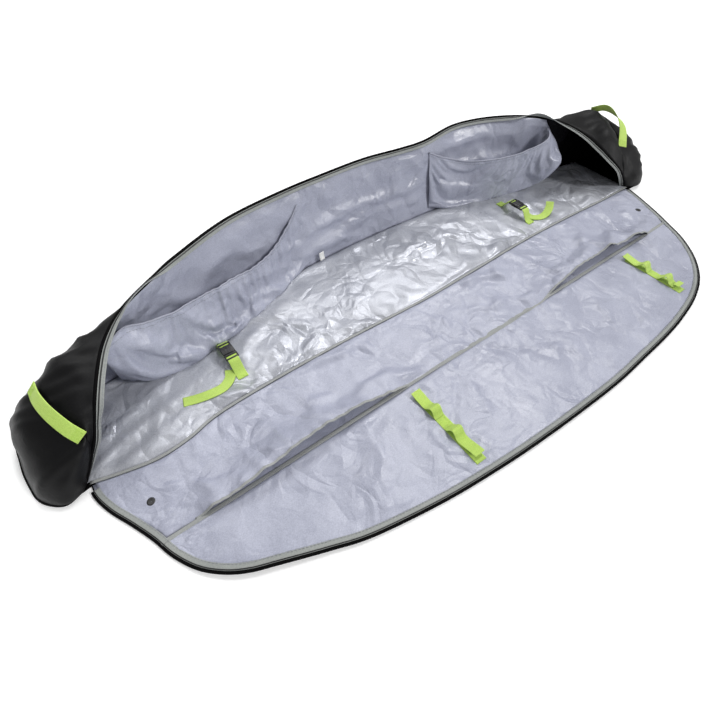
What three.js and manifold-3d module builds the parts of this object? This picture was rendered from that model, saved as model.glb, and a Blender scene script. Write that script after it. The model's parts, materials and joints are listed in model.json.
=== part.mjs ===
// Padded ski bag lying open on the floor: a tray with two closed end hoods, and a lid that folds
// forwards flat. The lid is two panels, the bag's front wall and its top, hinged at two seams.
// Millimetres, +Z up, +X along the bag, +Y towards the back wall.
import * as THREE from 'three';
import { mergeVertices } from 'three/addons/utils/BufferGeometryUtils.js';
import Module from 'manifold-3d';

const wasm = await Module();
wasm.setup();

// Driving dimensions
const SEAM_Y = 68.8;             // front fold seam, measured from the middle of the open bag
const NOSE_X = 1000;            // half the bag's length
const SEAM_X = 900;             // half the front fold seam
const MID_X = 845;              // half the fold seam between front wall and top panel
const FRONT_DEPTH = 206;        // height of the front wall when it stands
const TOP_DEPTH = 284;          // width of the top panel at its middle
const CLOSED_LEAN = 8;          // degrees that the closed front wall leans back past upright
const LID_GAP = 9;              // closed lid's edge to the tray's zip edge
const WALL_RELAX = 28;          // how far the open back wall leans out at its middle
const RELAX_X = 650;            // where that lean has died out
const STRAP_LINE_X = 885;       // seam between hood and end panel
const HOOD_X = 720;             // where the hoods begin
const FLOOR_MID = 300;          // depth of the floor at its middle
const FLOOR_END = 186;          // depth of the floor at its ends
const CLOTH = 2.4;              // outer fabric
const FOAM = 2.5;
const LINING = 1.6;
const GAP = 0.3;                // between touching pieces
const CORNER = 6;               // bevel along the tray's long edges
const TAPE_WIDTH = 14;
const TAPE = 1.4;
const COIL_R = 2.1;
const FOLD_Z = 7.5;             // height of both fold axes
const WEB = 1.6;                // webbing thickness
const WEB_WIDTH = 26;

const FOAM_Z = CLOTH + GAP;
const FLOOR_Z = FOAM_Z + FOAM + GAP;
const FLOOR_TOP = FLOOR_Z + LINING;
const LID_LINING_Z = CLOTH + GAP;
const LID_TOP = LID_LINING_Z + LINING;
const LEAN = Math.tan(THREE.MathUtils.degToRad(CLOSED_LEAN));
const WALL_LAYERS = CLOTH + FOAM + LINING + 2 * GAP;

const bag = new THREE.Group();
bag.position.y = SEAM_Y;

// Materials
const finish = (color, roughness, metalness = 0) => () => (
  new THREE.MeshStandardMaterial({ color, roughness, metalness }));
const blackShell = finish(0x17171a, 0.8);
const charcoalShell = finish(0x34323a, 0.8);
const lavenderLining = finish(0xaeb0c8, 0.5);
const silverFilm = finish(0xd5d8de, 0.3, 0.7);
const greyTape = finish(0xbcc0b8, 0.8);
const blackPlastic = finish(0x101012, 0.4);
const limeWeb = finish(0xb9de5a, 0.7);
const whiteFoam = finish(0xe8e8e8, 0.9);
const whiteLabel = finish(0xf4f4f4, 0.7);

// Shape helpers
const v = (x, y, z) => new THREE.Vector3(x, y, z);
const steps = (from, to, count) => (
  Array.from({ length: count + 1 }, (_, i) => from + (to - from) * i / count));

function add(name, geometry, material, place = v(0, 0, 0)) {
  const mesh = new THREE.Mesh(geometry, material());
  mesh.name = name;
  mesh.position.copy(place);
  bag.add(mesh);
  return mesh;
}

function fromTriangles(positions, index) {
  const geometry = new THREE.BufferGeometry();
  geometry.setAttribute('position', new THREE.Float32BufferAttribute(positions, 3));
  let volume = 0;
  const corner = (i) => new THREE.Vector3().fromArray(positions, 3 * index[i]);
  for (let i = 0; i < index.length; i += 3) {
    volume += corner(i).dot(corner(i + 1).cross(corner(i + 2)));
  }
  geometry.setIndex(volume < 0 ? index.slice().reverse() : index);
  return geometry;
}

// Skins a row of rings that have the same number of points, and closes both ends.
function loft(rings) {
  const n = rings[0].length;
  const positions = rings.flat().flatMap((p) => p.toArray());
  const index = [];
  for (let r = 0; r + 1 < rings.length; r += 1) {
    for (let i = 0; i < n; i += 1) {
      const a = r * n + i;
      const b = r * n + (i + 1) % n;
      index.push(a, b, b + n, a, b + n, a + n);
    }
  }
  const last = (rings.length - 1) * n;
  for (let i = 1; i + 1 < n; i += 1) {
    index.push(0, i + 1, i, last, last + i, last + i + 1);
  }
  return fromTriangles(positions, index);
}

// A closed sheet: rows of points on its face, and the same points moved by the vector 'through'.
function sheet(rows, through) {
  return loft(rows.map((row) => [...row, ...row.map((p) => p.clone().add(through)).reverse()]));
}

// A flat strip's corners at each point of its path: 'across' and 'normal' give its width and
// thickness directions.
function stripRings(path, across, normal, from, to, thickness) {
  const half = thickness / 2;
  return path.map((p, i) => {
    const corner = (w, t) => (
      p.clone().addScaledVector(across[i], w).addScaledVector(normal[i], t));
    return [corner(from, -half), corner(to, -half), corner(to, half), corner(from, half)];
  });
}

const strip = (...shape) => loft(stripRings(...shape));

function rope(path, radius, sides = 6) {
  const curve = new THREE.CatmullRomCurve3(path, false, 'centripetal');
  const section = new THREE.Shape();
  section.absarc(0, 0, radius, 0, 2 * Math.PI);
  return new THREE.ExtrudeGeometry(section, {
    steps: path.length - 1, extrudePath: curve, curveSegments: sides,
  });
}

function plate(points, z, thickness) {
  const shape = new THREE.Shape(points.map(([x, y]) => new THREE.Vector2(x, y)));
  const geometry = new THREE.ExtrudeGeometry(shape, { depth: thickness, bevelEnabled: false });
  return geometry.translate(0, 0, z);
}

function block(low, high) {
  const size = high.clone().sub(low);
  const middle = low.clone().add(high).multiplyScalar(0.5);
  return new THREE.BoxGeometry(size.x, size.y, size.z).translate(middle.x, middle.y, middle.z);
}

function solid(geometry) {
  const bare = geometry.clone();
  bare.deleteAttribute('normal');
  bare.deleteAttribute('uv');
  const merged = mergeVertices(bare, 1e-4);
  return new wasm.Manifold(new wasm.Mesh({
    numProp: 3,
    vertProperties: new Float32Array(merged.attributes.position.array),
    triVerts: new Uint32Array(merged.index.array),
  }));
}

function toGeometry(manifold) {
  const { vertProperties, triVerts } = manifold.getMesh();
  const geometry = new THREE.BufferGeometry();
  geometry.setAttribute('position', new THREE.BufferAttribute(vertProperties, 3));
  geometry.setIndex(new THREE.BufferAttribute(triVerts, 1));
  return geometry;
}

// The room that a strip takes, as the union of the convex hulls of its steps.
function stripRoom(...shape) {
  const rings = stripRings(...shape).map((ring) => ring.map((p) => p.toArray()));
  const hulls = rings.slice(1).map((ring, i) => wasm.Manifold.hull([...rings[i], ...ring]));
  return wasm.Manifold.union(hulls);
}

// The largest piece of a cut, without its offcuts.
function mainPiece(manifold) {
  const pieces = manifold.decompose();
  return pieces.reduce((best, piece) => (piece.volume() > best.volume() ? piece : best));
}

// Outlines of the tray, as functions of the place along the bag
const rise = (x, halfLength, depth) => (
  depth * Math.max(1 - (Math.abs(x) / halfLength) ** 2.2, 0) ** 0.56);
const relax = (x) => WALL_RELAX * Math.max(1 - (x / RELAX_X) ** 2, 0);
const closedFront = (z) => z * LEAN;
const floorBack = (x) => FLOOR_MID - (FLOOR_MID - FLOOR_END) * (Math.abs(x) / NOSE_X) ** 1.8;
const rimX = MID_X + LID_GAP;
const rimY = (x) => closedFront(FRONT_DEPTH) + rise(x, rimX, TOP_DEPTH + LID_GAP) + relax(x);
const wallTop = (x) => Math.max(rimY(x) + CLOTH / 2, floorBack(x) + 5);
const heightCurve = [[0, 222], [600, 214], [850, 198], [STRAP_LINE_X, 155], [NOSE_X, 22]];

function height(x) {
  const at = Math.abs(x);
  const i = heightCurve.findIndex(([end]) => end >= at);
  const [x1, z1] = heightCurve[Math.max(i, 1)];
  const [x0, z0] = heightCurve[Math.max(i, 1) - 1];
  return z0 + (z1 - z0) * (at - x0) / (x1 - x0);
}

// Cross-section of the tray as a closed box, moved in from its outer face by 'inset'.
function section(x, inset) {
  const facet = Math.max(Math.abs(x) - SEAM_X, 0) * 0.13;
  const low = inset;
  const high = height(x) - inset * 1.3;
  const back = floorBack(x) - inset;
  const crown = Math.min(wallTop(x), back + (wallTop(x) - floorBack(x)) * high / 150) - inset;
  const front = facet + inset;
  const lip = front + closedFront(high);
  const c = CORNER;
  return [
    v(x, front + c, low), v(x, back - c, low), v(x, back, low + c), v(x, crown, high - c),
    v(x, crown - c, high), v(x, lip + c, high), v(x, lip, high - c), v(x, front, low + c),
  ];
}

const stations = [0, 130, 260, 400, 520, 600, 660, HOOD_X, 790, 850, STRAP_LINE_X, 945, NOSE_X];
const bothWays = (list) => [...list.slice(1).reverse().map((x) => -x), ...list];

function trayBlock(inset) {
  const ends = (x) => Math.sign(x) * Math.min(Math.abs(x), NOSE_X - inset);
  return solid(loft(bothWays(stations).map((x) => section(ends(x), inset))));
}

const trayLayer = (outer, thickness) => (
  trayBlock(outer).subtract(trayBlock(outer + thickness)));

// The zip edge of the tray: up the front of a hood, round the mouth and down again.
function rimSide(sign) {
  const points = [];
  for (const z of [14, 60, 110, 160]) {
    const x = SEAM_X + LID_GAP - (SEAM_X - MID_X) * z / FRONT_DEPTH;
    points.push({ p: v(sign * x, closedFront(z) + CLOTH / 2, z), d: v(sign, 0, 0) });
  }
  for (const share of steps(0, 1, 16)) {
    const x = rimX * Math.cos(share * Math.PI / 2) ** 0.9;
    const ahead = (rimY(x - 1) - rimY(x + 1)) / 2;
    const plan = v(ahead, 1, 0).normalize();
    const flat = THREE.MathUtils.smoothstep(x, 520, 660);
    const d = plan.multiplyScalar(flat).add(v(0, -0.2, -1).multiplyScalar(1 - flat));
    d.x *= sign;
    points.push({ p: v(sign * x, rimY(x), height(x) - CLOTH / 2), d: d.normalize() });
  }
  return points;
}

const rim = [...rimSide(-1), ...rimSide(1).reverse().slice(1)];
const rimPath = rim.map(({ p }) => p);
const rimAcross = rim.map(({ d }) => d);
const rimNormal = rim.map(({ p, d }, i) => {
  const before = rimPath[Math.max(i - 1, 0)];
  const after = rimPath[Math.min(i + 1, rim.length - 1)];
  return after.clone().sub(before).cross(d).normalize();
});

function mouthCut() {
  const edge = (z) => SEAM_X + LID_GAP + 3 - (SEAM_X - MID_X) * z / FRONT_DEPTH;
  const lowZ = CLOTH + GAP;
  const highZ = 260;
  const front = plate([[-edge(lowZ), lowZ], [edge(lowZ), lowZ], [edge(highZ), highZ],
    [-edge(highZ), highZ]], -36, 60).rotateX(Math.PI / 2);
  const top = loft(bothWays([0, 200, 400, 520, 600, 660, 720, 780, 820, 845, rimX]).map((x) => {
    const back = rimY(x) - 2;
    const low = height(x) - 15;
    return [v(x, -30, low), v(x, back, low), v(x, back, highZ), v(x, -30, highZ)];
  }));
  return solid(front).add(solid(top));
}

const TAPE_ROOM = 1.8;           // the cut cloth stops this far outside the zip tape
const zipCut = stripRoom(rimPath, rimAcross, rimNormal, -5, TAPE_WIDTH + TAPE_ROOM, 16);
const mouth = mouthCut().add(zipCut);
const region = (low, high) => solid(block(low, high));

// Tray: bottom, walls and hoods
function addTray() {
  const shell = trayLayer(0, CLOTH).subtract(mouth);
  const seamZ = CLOTH + 0.2;
  const wallZ = seamZ + GAP;
  const all = 1100;
  const cut = (x0, x1, z0, z1) => (
    toGeometry(mainPiece(shell.intersect(region(v(x0, -all, z0), v(x1, all, z1))))));
  add('bottom_panel', cut(-all, all, -1, seamZ), blackShell);
  const wallX = HOOD_X - GAP;
  add('back_wall_shell', cut(-wallX, wallX, wallZ, all), charcoalShell);
  const hoodEnd = STRAP_LINE_X - GAP;
  add('left_hood', cut(-hoodEnd, -HOOD_X, wallZ, all), charcoalShell);
  add('right_hood', cut(HOOD_X, hoodEnd, wallZ, all), charcoalShell);
  add('left_end_panel', cut(-all, -STRAP_LINE_X, wallZ, all), blackShell);
  add('right_end_panel', cut(STRAP_LINE_X, all, wallZ, all), blackShell);
}

function addWallLayers() {
  const wallZone = region(v(-HOOD_X - 20, 90, 12), v(HOOD_X + 20, 1000, 400));
  const layer = (inset, thickness) => (
    toGeometry(mainPiece(trayLayer(inset, thickness).subtract(mouth).intersect(wallZone))));
  add('back_wall_foam', layer(CLOTH + GAP, FOAM), whiteFoam);
  add('back_wall_lining', layer(CLOTH + FOAM + 2 * GAP, LINING), lavenderLining);
}

function floorOutline(front, inset, endX) {
  const back = bothWays([0, 250, 450, 620, 760, endX]).map((x) => [x, floorBack(x) - inset]);
  return [[-endX, front], [endX, front], ...back.reverse()];
}

function addFloor() {
  const floorEnd = SEAM_X - 8;
  const bindingDepth = 9;
  add('floor_foam', plate(floorOutline(6, 16, floorEnd), FOAM_Z, FOAM), whiteFoam);
  const lining = floorOutline(bindingDepth + 2 * GAP, 16, floorEnd);
  add('silver_floor', plate(lining, FLOOR_Z, LINING), silverFilm);
  const binding = block(v(-floorEnd, GAP, FLOOR_Z), v(floorEnd, bindingDepth, FLOOR_TOP));
  add('floor_binding', binding, greyTape);
}

function addTrayZip() {
  add('base_zip_tape', strip(rimPath, rimAcross, rimNormal, 0, TAPE_WIDTH, TAPE), greyTape);
  const tapeRoom = strip(rimPath, rimAcross, rimNormal, -GAP, TAPE_WIDTH, TAPE + 2 * GAP);
  const path = rim.map(({ p, d }) => p.clone().addScaledVector(d, -COIL_R - GAP));
  const coil = strip(path, rimAcross, rimNormal, -COIL_R, COIL_R, 2 * COIL_R);
  add('base_zip_coil', toGeometry(mainPiece(solid(coil).subtract(solid(tapeRoom)))), blackPlastic);
}

addTray();
addWallLayers();
addFloor();
addTrayZip();

// Stuff pockets on the back wall, sewn along their foot and ends and open at the top
const wallFace = (x, z) => {
  const foot = floorBack(x);
  return foot + (wallTop(x) - foot) * (z - CORNER) / (height(x) - 2 * CORNER) - WALL_LAYERS;
};

const POCKET_ROOM = 7;           // from the lining to the pocket at its sewn ends

function pocketPoint(pocket, along, up) {
  const x = THREE.MathUtils.lerp(pocket.from, pocket.to, along);
  const ends = (1 - Math.abs(2 * along - 1) ** 4) ** 0.7;
  const topZ = pocket.edgeZ - pocket.sag * Math.sin(Math.PI * along);
  const z = FLOOR_TOP + 1 + (topZ - FLOOR_TOP - 1) * up;
  const belly = Math.sin(Math.PI * Math.min(0.12 + 0.62 * up, 1)) ** 0.8;
  const wall = wallFace(x, Math.max(z, 20));
  return v(x, wall - POCKET_ROOM - pocket.depth * ends * belly, z);
}

function addStuffPocket(name, pocket) {
  const rows = steps(0, 1, 12).map((a) => steps(0, 1, 6).map((u) => pocketPoint(pocket, a, u)));
  add(`${name}_stuff_pocket`, sheet(rows, v(0, LINING, 0)), lavenderLining);
  const edge = steps(0, 1, 12).map((a) => pocketPoint(pocket, a, 1).add(v(0, LINING / 2, 3)));
  add(`${name}_pocket_elastic`, rope(edge, 2.4), lavenderLining);
}

addStuffPocket('left', { from: -735, to: -265, depth: 88, edgeZ: 140, sag: 20 });
addStuffPocket('right', { from: 225, to: 655, depth: 96, edgeZ: 140, sag: 8 });
add('care_label', block(v(-162, -1, 16), v(-148, 0, 34)), whiteLabel, v(0, wallFace(155, 20) - 6, 0));

// Lid: front wall
const lidEdge = (s) => SEAM_X - (SEAM_X - MID_X) * s / FRONT_DEPTH;

function frontOutline(inset, s0, s1) {
  return [[-lidEdge(s0) + inset, -s0], [-lidEdge(s1) + inset, -s1],
    [lidEdge(s1) - inset, -s1], [lidEdge(s0) - inset, -s0]];
}

// Height of the front pocket's cloth over the lining: tacked down between its two mouths.
function pocketLift(x) {
  const humps = [[-745, -255, 15], [265, 722, 17]];
  const lift = humps.map(([from, to, top]) => {
    const share = (x - from) / (to - from);
    return share > 0 && share < 1 ? top * Math.sin(Math.PI * share) ** 0.6 : 0;
  });
  return Math.max(...lift);
}

function frontPocketPoint(x, share) {
  const s = 3 + share * (185 - 3);
  const swell = Math.sin(Math.PI * Math.min(share * 0.62, 1)) ** 1.3;
  return v(x, -s, LID_TOP + GAP + pocketLift(x) * swell);
}

const BINDING_S = FRONT_DEPTH - 10;

function addFrontWall() {
  const shellInset = 2 * COIL_R + GAP;
  const near = 1;
  add('front_wall_shell', plate(frontOutline(shellInset, near, FRONT_DEPTH - 0.5), 0, CLOTH),
    blackShell);
  const liningInset = shellInset + TAPE_WIDTH + GAP;
  add('front_wall_lining', plate(frontOutline(liningInset, near, BINDING_S - GAP), LID_LINING_Z,
    LINING), lavenderLining);
  const binding = plate(frontOutline(liningInset, BINDING_S, FRONT_DEPTH - 0.5), LID_LINING_Z, 3);
  add('mid_seam_binding', binding, greyTape);
  const xs = steps(-748, 725, 28);
  const rows = xs.map((x) => steps(0, 1, 5).map((share) => frontPocketPoint(x, share)));
  add('front_pocket', sheet(rows, v(0, 0, LINING)), lavenderLining);
  const edge = xs.map((x) => frontPocketPoint(x, 1).add(v(0, -3.2, 1.6)));
  add('front_pocket_edge', rope(edge, 1.5), greyTape);
}

function addFrontZip(name, sign) {
  const s0 = 14;
  const s1 = FRONT_DEPTH - 0.5;
  const side = (inset, s) => [sign * (lidEdge(s) - inset), -s];
  const tapeIn = 2 * COIL_R + GAP;
  const tape = [side(tapeIn, s0), side(tapeIn, s1), side(tapeIn + TAPE_WIDTH, s1),
    side(tapeIn + TAPE_WIDTH, s0)];
  add(`front_${name}_tape`, plate(tape, LID_LINING_Z, TAPE), greyTape);
  const coil = [side(0, s0), side(0, s1), side(2 * COIL_R, s1), side(2 * COIL_R, s0)];
  add(`front_${name}_coil`, plate(coil, 0.2, 2 * COIL_R), blackPlastic);
}

function addEyelet(name, x) {
  const profile = [[4.5, 0], [10, 0], [10, 1.2], [8.5, 2], [5.5, 2], [4.5, 1.2], [4.5, 0]];
  const ring = new THREE.LatheGeometry(profile.map(([r, z]) => new THREE.Vector2(r, z)), 20);
  add(name, ring.rotateX(Math.PI / 2), blackPlastic, v(x, -115, LID_TOP + GAP));
}

addFrontWall();
addFrontZip('left', -1);
addFrontZip('right', 1);
addEyelet('left_eyelet', -815);
addEyelet('right_eyelet', 815);

// Lid: top panel
function topOutline(inset) {
  const halfLength = MID_X - inset;
  const front = steps(0, 1, 32).map((share) => {
    const x = -halfLength * Math.cos(share * Math.PI);
    return [x, -FRONT_DEPTH - 0.5 - rise(x, halfLength, TOP_DEPTH - inset)];
  });
  return front;
}

function topBand(outer, width, z, thickness) {
  const inner = topOutline(outer + width).reverse();
  return plate([...topOutline(outer), ...inner], z, thickness);
}

function addTopPanel() {
  const shellInset = 2 * COIL_R + GAP;
  add('top_panel_shell', plate(topOutline(shellInset), 0, CLOTH), blackShell);
  const liningInset = shellInset + TAPE_WIDTH + GAP;
  add('top_panel_lining', plate(topOutline(liningInset), LID_LINING_Z, LINING), lavenderLining);
  add('top_zip_tape', topBand(shellInset, TAPE_WIDTH, LID_LINING_Z, TAPE), greyTape);
  add('top_zip_coil', topBand(0, 2 * COIL_R, 0.2, 2 * COIL_R), blackPlastic);
}

addTopPanel();

// Webbing along a path of [y, z] points, centred on x, its thickness growing upwards
function webbing(x, path, width = WEB_WIDTH) {
  const points = path.map(([y, z]) => v(x, y, z));
  const across = path.map(() => v(1, 0, 0));
  const normal = points.map((p, i) => {
    const before = points[Math.max(i - 1, 0)];
    const after = points[Math.min(i + 1, points.length - 1)];
    return after.clone().sub(before).normalize().cross(v(-1, 0, 0));
  });
  return strip(points, across, normal, -width / 2, width / 2, WEB);
}

// Pole straps: a base sewn to the top panel and two hook-and-loop flaps that close over the poles
const POLE_Y = [-289, -357];
const poleSeamY = (POLE_Y[0] + POLE_Y[1]) / 2;
const FLAP_ROOT = 16;           // from the strap's middle to each flap's fold

function flapPath(sign, length) {
  const z0 = LID_TOP + GAP + WEB * 2 + 0.6;
  const start = poleSeamY + sign * FLAP_ROOT;
  const arch = [[0, 0], [6, 4], [10, 12], [18, 17], [26, 12], [31, 3], [38, 0.4], [length, 1]];
  return arch.map(([dy, dz]) => [start + sign * dy, z0 + dz]);
}

function addPoleStrap(name, x, backLength, frontLength) {
  const z = LID_TOP + GAP + WEB / 2;
  const base = [[poleSeamY + backLength, z], [poleSeamY - frontLength, z]];
  add(`${name}_pole_strap`, webbing(x, base), limeWeb);
  add(`${name}_pole_flap_back`, webbing(x, flapPath(1, backLength)), limeWeb);
  add(`${name}_pole_flap_front`, webbing(x, flapPath(-1, frontLength)), limeWeb);
}

addPoleStrap('left', -241, 84, 112);
addPoleStrap('right', 564, 84, 84);

// Ski straps: two webbing halves that meet in a side-release buckle over the floor
const BUCKLE_Y = 104;
const BUCKLE_Z = 40;
const strapFootZ = FLOOR_TOP + GAP + WEB / 2;

function maleHalf() {
  const bar = block(v(-16, -22, -3), v(16, -6, 3));
  const slot = block(v(-13.5, -18, -4), v(13.5, -11, 4));
  const prong = (x) => block(v(x - 2.5, -6.5, -1.6), v(x + 2.5, 14, 1.6));
  const body = solid(bar).subtract(solid(slot));
  return body.add(solid(prong(-9))).add(solid(prong(9)));
}

function femaleHalf() {
  const housing = block(v(-15, -5, -4.5), v(15, 30, 4.5));
  const pocket = block(v(-12, -6, -2.2), v(12, 15, 2.2));
  const slot = block(v(-13.5, 20, -5), v(13.5, 26, 5));
  return solid(housing).subtract(solid(pocket)).subtract(solid(slot));
}

function tailGeometry(points) {
  const path = points.map(([x, y]) => v(x, y, strapFootZ + 0.1));
  const across = path.map((p, i) => {
    const before = path[Math.max(i - 1, 0)];
    const after = path[Math.min(i + 1, path.length - 1)];
    return after.clone().sub(before).normalize().cross(v(0, 0, 1));
  });
  const normal = path.map(() => v(0, 0, 1));
  return strip(path, across, normal, -WEB_WIDTH / 2, WEB_WIDTH / 2, WEB);
}

function addSkiStrap(name, x, tail) {
  const place = v(x, BUCKLE_Y, BUCKLE_Z);
  const front = [[42, strapFootZ], [58, strapFootZ + 3], [66, 24], [74, BUCKLE_Z - 3],
    [BUCKLE_Y - 22.8, BUCKLE_Z]];
  const back = [[BUCKLE_Y + 30.8, BUCKLE_Z], [140, BUCKLE_Z - 2], [150, 24], [158, 12],
    [168, strapFootZ], [180, strapFootZ]];
  add(`${name}_buckle_male`, toGeometry(maleHalf()), blackPlastic, place);
  add(`${name}_buckle_female`, toGeometry(femaleHalf()), blackPlastic, place);
  add(`${name}_strap_front`, webbing(x, front), limeWeb);
  add(`${name}_strap_back`, webbing(x, back), limeWeb);
  add(`${name}_strap_tail`, tailGeometry(tail), limeWeb);
}

addSkiStrap('left', -535, [[-575, 45], [-605, 42], [-640, 48], [-675, 58]]);
addSkiStrap('right', 475, [[508, 52], [530, 44], [556, 46], [578, 62]]);

// Grab handles: webbing sewn across each end at the seam between hood and end panel
function addHandle(name, sign, bow) {
  const outward = v(sign * 0.8, 0, 0.6);
  const across = v(sign * 0.6, 0, -0.8);
  const path = steps(0, 1, 12).map((share) => {
    const lift = 3 + bow * Math.sin(Math.PI * share) ** 0.7;
    const root = v(sign * (STRAP_LINE_X + 2), 26 + 148 * share, 158);
    return root.addScaledVector(outward, lift);
  });
  add(name, strip(path, path.map(() => across), path.map(() => outward), -14, 14, WEB), limeWeb);
}

addHandle('left_handle', -1, 20);
addHandle('right_handle', 1, 44);

// Zip sliders, parked at the front corners, and their pullers
const railTilt = Math.atan((SEAM_X - MID_X) / FRONT_DEPTH);

// Two plates over and under the coil, joined on the lid's side of it, and the puller's loop.
function sliderGeometry() {
  const body = solid(block(v(-8, -6, -8), v(4.1, 6, 8)));
  const channel = solid(block(v(-20, -3.4, -9), v(9, 3.4, 9)));
  const bridge = solid(block(v(2.7, -3.6, 2), v(4.1, 3.6, 6)));
  const loop = solid(block(v(-4, -10, -5), v(0, -5.5, 5)));
  const loopHole = solid(block(v(-5, -8.4, -2.6), v(1, -6.2, 2.6)));
  return body.subtract(channel).add(bridge).add(loop).subtract(loopHole);
}

// Cross pin through the slider's loop, two arms beside it and the tab they carry.
function pullerGeometry() {
  const boxes = [
    block(v(-6, -7.9, -0.6), v(2, -6.7, 0.6)),
    block(v(-6, -7.9, -14), v(-4.6, -6.7, 0.6)),
    block(v(0.6, -7.9, -14), v(2, -6.7, 0.6)),
    block(v(-6, -7.9, -28), v(2, -6.7, -12)),
  ];
  return boxes.map(solid).reduce((sum, box) => sum.add(box));
}

function addSlider(name, sign) {
  const z = 34;
  const x = SEAM_X + LID_GAP - COIL_R - (SEAM_X - MID_X) * z / FRONT_DEPTH;
  const place = v(sign * x, closedFront(z) + CLOTH / 2, z);
  const parts = [['slider', sliderGeometry()], ['puller', pullerGeometry()]];
  for (const [part, shape] of parts) {
    const turned = sign < 0 ? shape : shape.mirror([1, 0, 0]);
    const mesh = add(`${name}_${part}`, toGeometry(turned), blackPlastic, place);
    mesh.rotation.set(-THREE.MathUtils.degToRad(CLOSED_LEAN), -sign * railTilt, 0);
  }
}

addSlider('left', -1);
addSlider('right', 1);

export default bag;
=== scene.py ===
# The looks of a padded ski bag that lies open on the floor, its lid folded forwards flat.
# Shapes are worked out in millimetres, +X along the bag and +Y back from the front fold seam,
# and are turned into the row frame, in metres, when a piece is made.
import json
import math
import bmesh
import bpy
import numpy as np
from mathutils import Matrix, Vector, noise


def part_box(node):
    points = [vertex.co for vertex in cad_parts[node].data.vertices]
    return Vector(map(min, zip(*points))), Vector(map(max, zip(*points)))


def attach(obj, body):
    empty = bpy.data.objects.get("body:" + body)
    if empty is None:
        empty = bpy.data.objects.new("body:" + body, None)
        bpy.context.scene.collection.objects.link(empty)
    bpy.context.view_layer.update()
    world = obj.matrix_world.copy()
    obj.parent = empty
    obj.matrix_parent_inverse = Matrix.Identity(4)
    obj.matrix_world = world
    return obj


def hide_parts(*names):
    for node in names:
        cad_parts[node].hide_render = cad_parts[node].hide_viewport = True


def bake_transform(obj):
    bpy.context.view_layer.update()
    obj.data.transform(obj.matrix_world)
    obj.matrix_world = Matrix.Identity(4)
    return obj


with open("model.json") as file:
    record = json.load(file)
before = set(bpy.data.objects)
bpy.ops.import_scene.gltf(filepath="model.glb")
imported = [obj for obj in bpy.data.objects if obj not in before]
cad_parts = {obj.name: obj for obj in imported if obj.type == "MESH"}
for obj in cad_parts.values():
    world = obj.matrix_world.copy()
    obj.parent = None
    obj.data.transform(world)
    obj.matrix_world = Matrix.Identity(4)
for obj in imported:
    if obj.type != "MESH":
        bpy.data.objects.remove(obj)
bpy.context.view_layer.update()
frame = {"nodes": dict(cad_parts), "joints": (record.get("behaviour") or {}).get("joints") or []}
JOINTS = {joint["name"]: joint for joint in frame["joints"]}
SEAM_Y = JOINTS["front_wall_fold"]["pos_m"][1] * 1000
MID_Y = JOINTS["top_panel_fold"]["pos_m"][1] * 1000 - SEAM_Y
FOLD_Z = JOINTS["front_wall_fold"]["pos_m"][2] * 1000
FLOOR_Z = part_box("silver_floor")[1].z * 1000
LID_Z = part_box("front_wall_lining")[1].z * 1000
SIDES = ("left", "right")
STRAP_WIDTH, STRAP_THICKNESS = 26, 1.7
TAPE_WIDTH, TAPE_THICKNESS = 12.5, 1.2
SKI_STRAP_X = {"left": -535, "right": 475}
POLE_STRAP_X = {"left": -241, "right": 564}


# Shape helpers

def to_row(points):
    """Points in millimetres from the front fold seam, as metres in the row frame."""
    moved = np.array(points, float)
    moved[..., 1] += SEAM_Y
    return moved / 1000


def catmull(points, steps):
    """The points with steps - 1 more between each two, on a smooth curve, along the first axis."""
    p = np.asarray(points, float)
    p = np.concatenate([[2 * p[0] - p[1]], p, [2 * p[-1] - p[-2]]])
    t = np.linspace(0, 1, steps, endpoint=False).reshape(-1, *[1] * (p.ndim - 1))
    parts = []
    for a, b, c, d in zip(p, p[1:], p[2:], p[3:]):
        parts.append(0.5 * (2 * b + (c - a) * t + (2 * a - 5 * b + 4 * c - d) * t ** 2
                            + (3 * b - a - 3 * c + d) * t ** 3))
    return np.concatenate([*parts, p[-2:-1]])


def at_shares(points, shares):
    """Points on the smooth curve through points, at shares 0 to 1 of its whole parameter."""
    fine = catmull(points, 24)
    place = np.clip(shares, 0, 1) * (len(fine) - 1)
    low = np.minimum(place.astype(int), len(fine) - 2)
    part = (place - low)[:, None]
    return fine[low] * (1 - part) + fine[low + 1] * part


def even(points, count):
    """count points evenly spaced along a polyline."""
    p = np.asarray(points, float)
    length = np.r_[0, np.cumsum(np.linalg.norm(np.diff(p, axis=0), axis=1))]
    at = np.linspace(0, length[-1], count)
    return np.stack([np.interp(at, length, p[:, i]) for i in range(p.shape[1])], -1)


def curve_at(table, x):
    """A smooth curve through [x, value] pairs, read at x."""
    fine = catmull(table, 12)
    return np.interp(x, fine[:, 0], fine[:, 1])


def smooth(value, low, high):
    t = np.clip((value - low) / (high - low), 0, 1)
    return t * t * (3 - 2 * t)


def bump(value, middle, width):
    return np.exp(-((value - middle) / width) ** 2)


def rough(points, size, seed=0.0):
    """Smooth noise from about -1 to 1 with features of that size, read at points."""
    p = np.asarray(points, float)
    flat = p.reshape(-1, 3) / size + (seed * 7.31, seed * 3.17, seed * 5.73)
    return np.array([noise.noise(q) for q in flat.tolist()]).reshape(p.shape[:-1]) * 1.6


def folds(points, angle, spacing, seed=0.0, sharp=1.6):
    """Soft parallel folds, 0 to 1, that run across the direction angle and come and go."""
    p = np.asarray(points, float)
    a = math.radians(angle)
    along = (p[..., 0] * math.cos(a) + p[..., 1] * math.sin(a) + 0.35 * p[..., 2]) / spacing
    wave = 0.5 + 0.5 * np.sin(2 * math.pi * along + 2.6 * rough(p, spacing * 3.2, seed))
    there = smooth(rough(p, spacing * 3.6, seed + 4), -0.25, 0.55)
    return wave ** sharp * there


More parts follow.
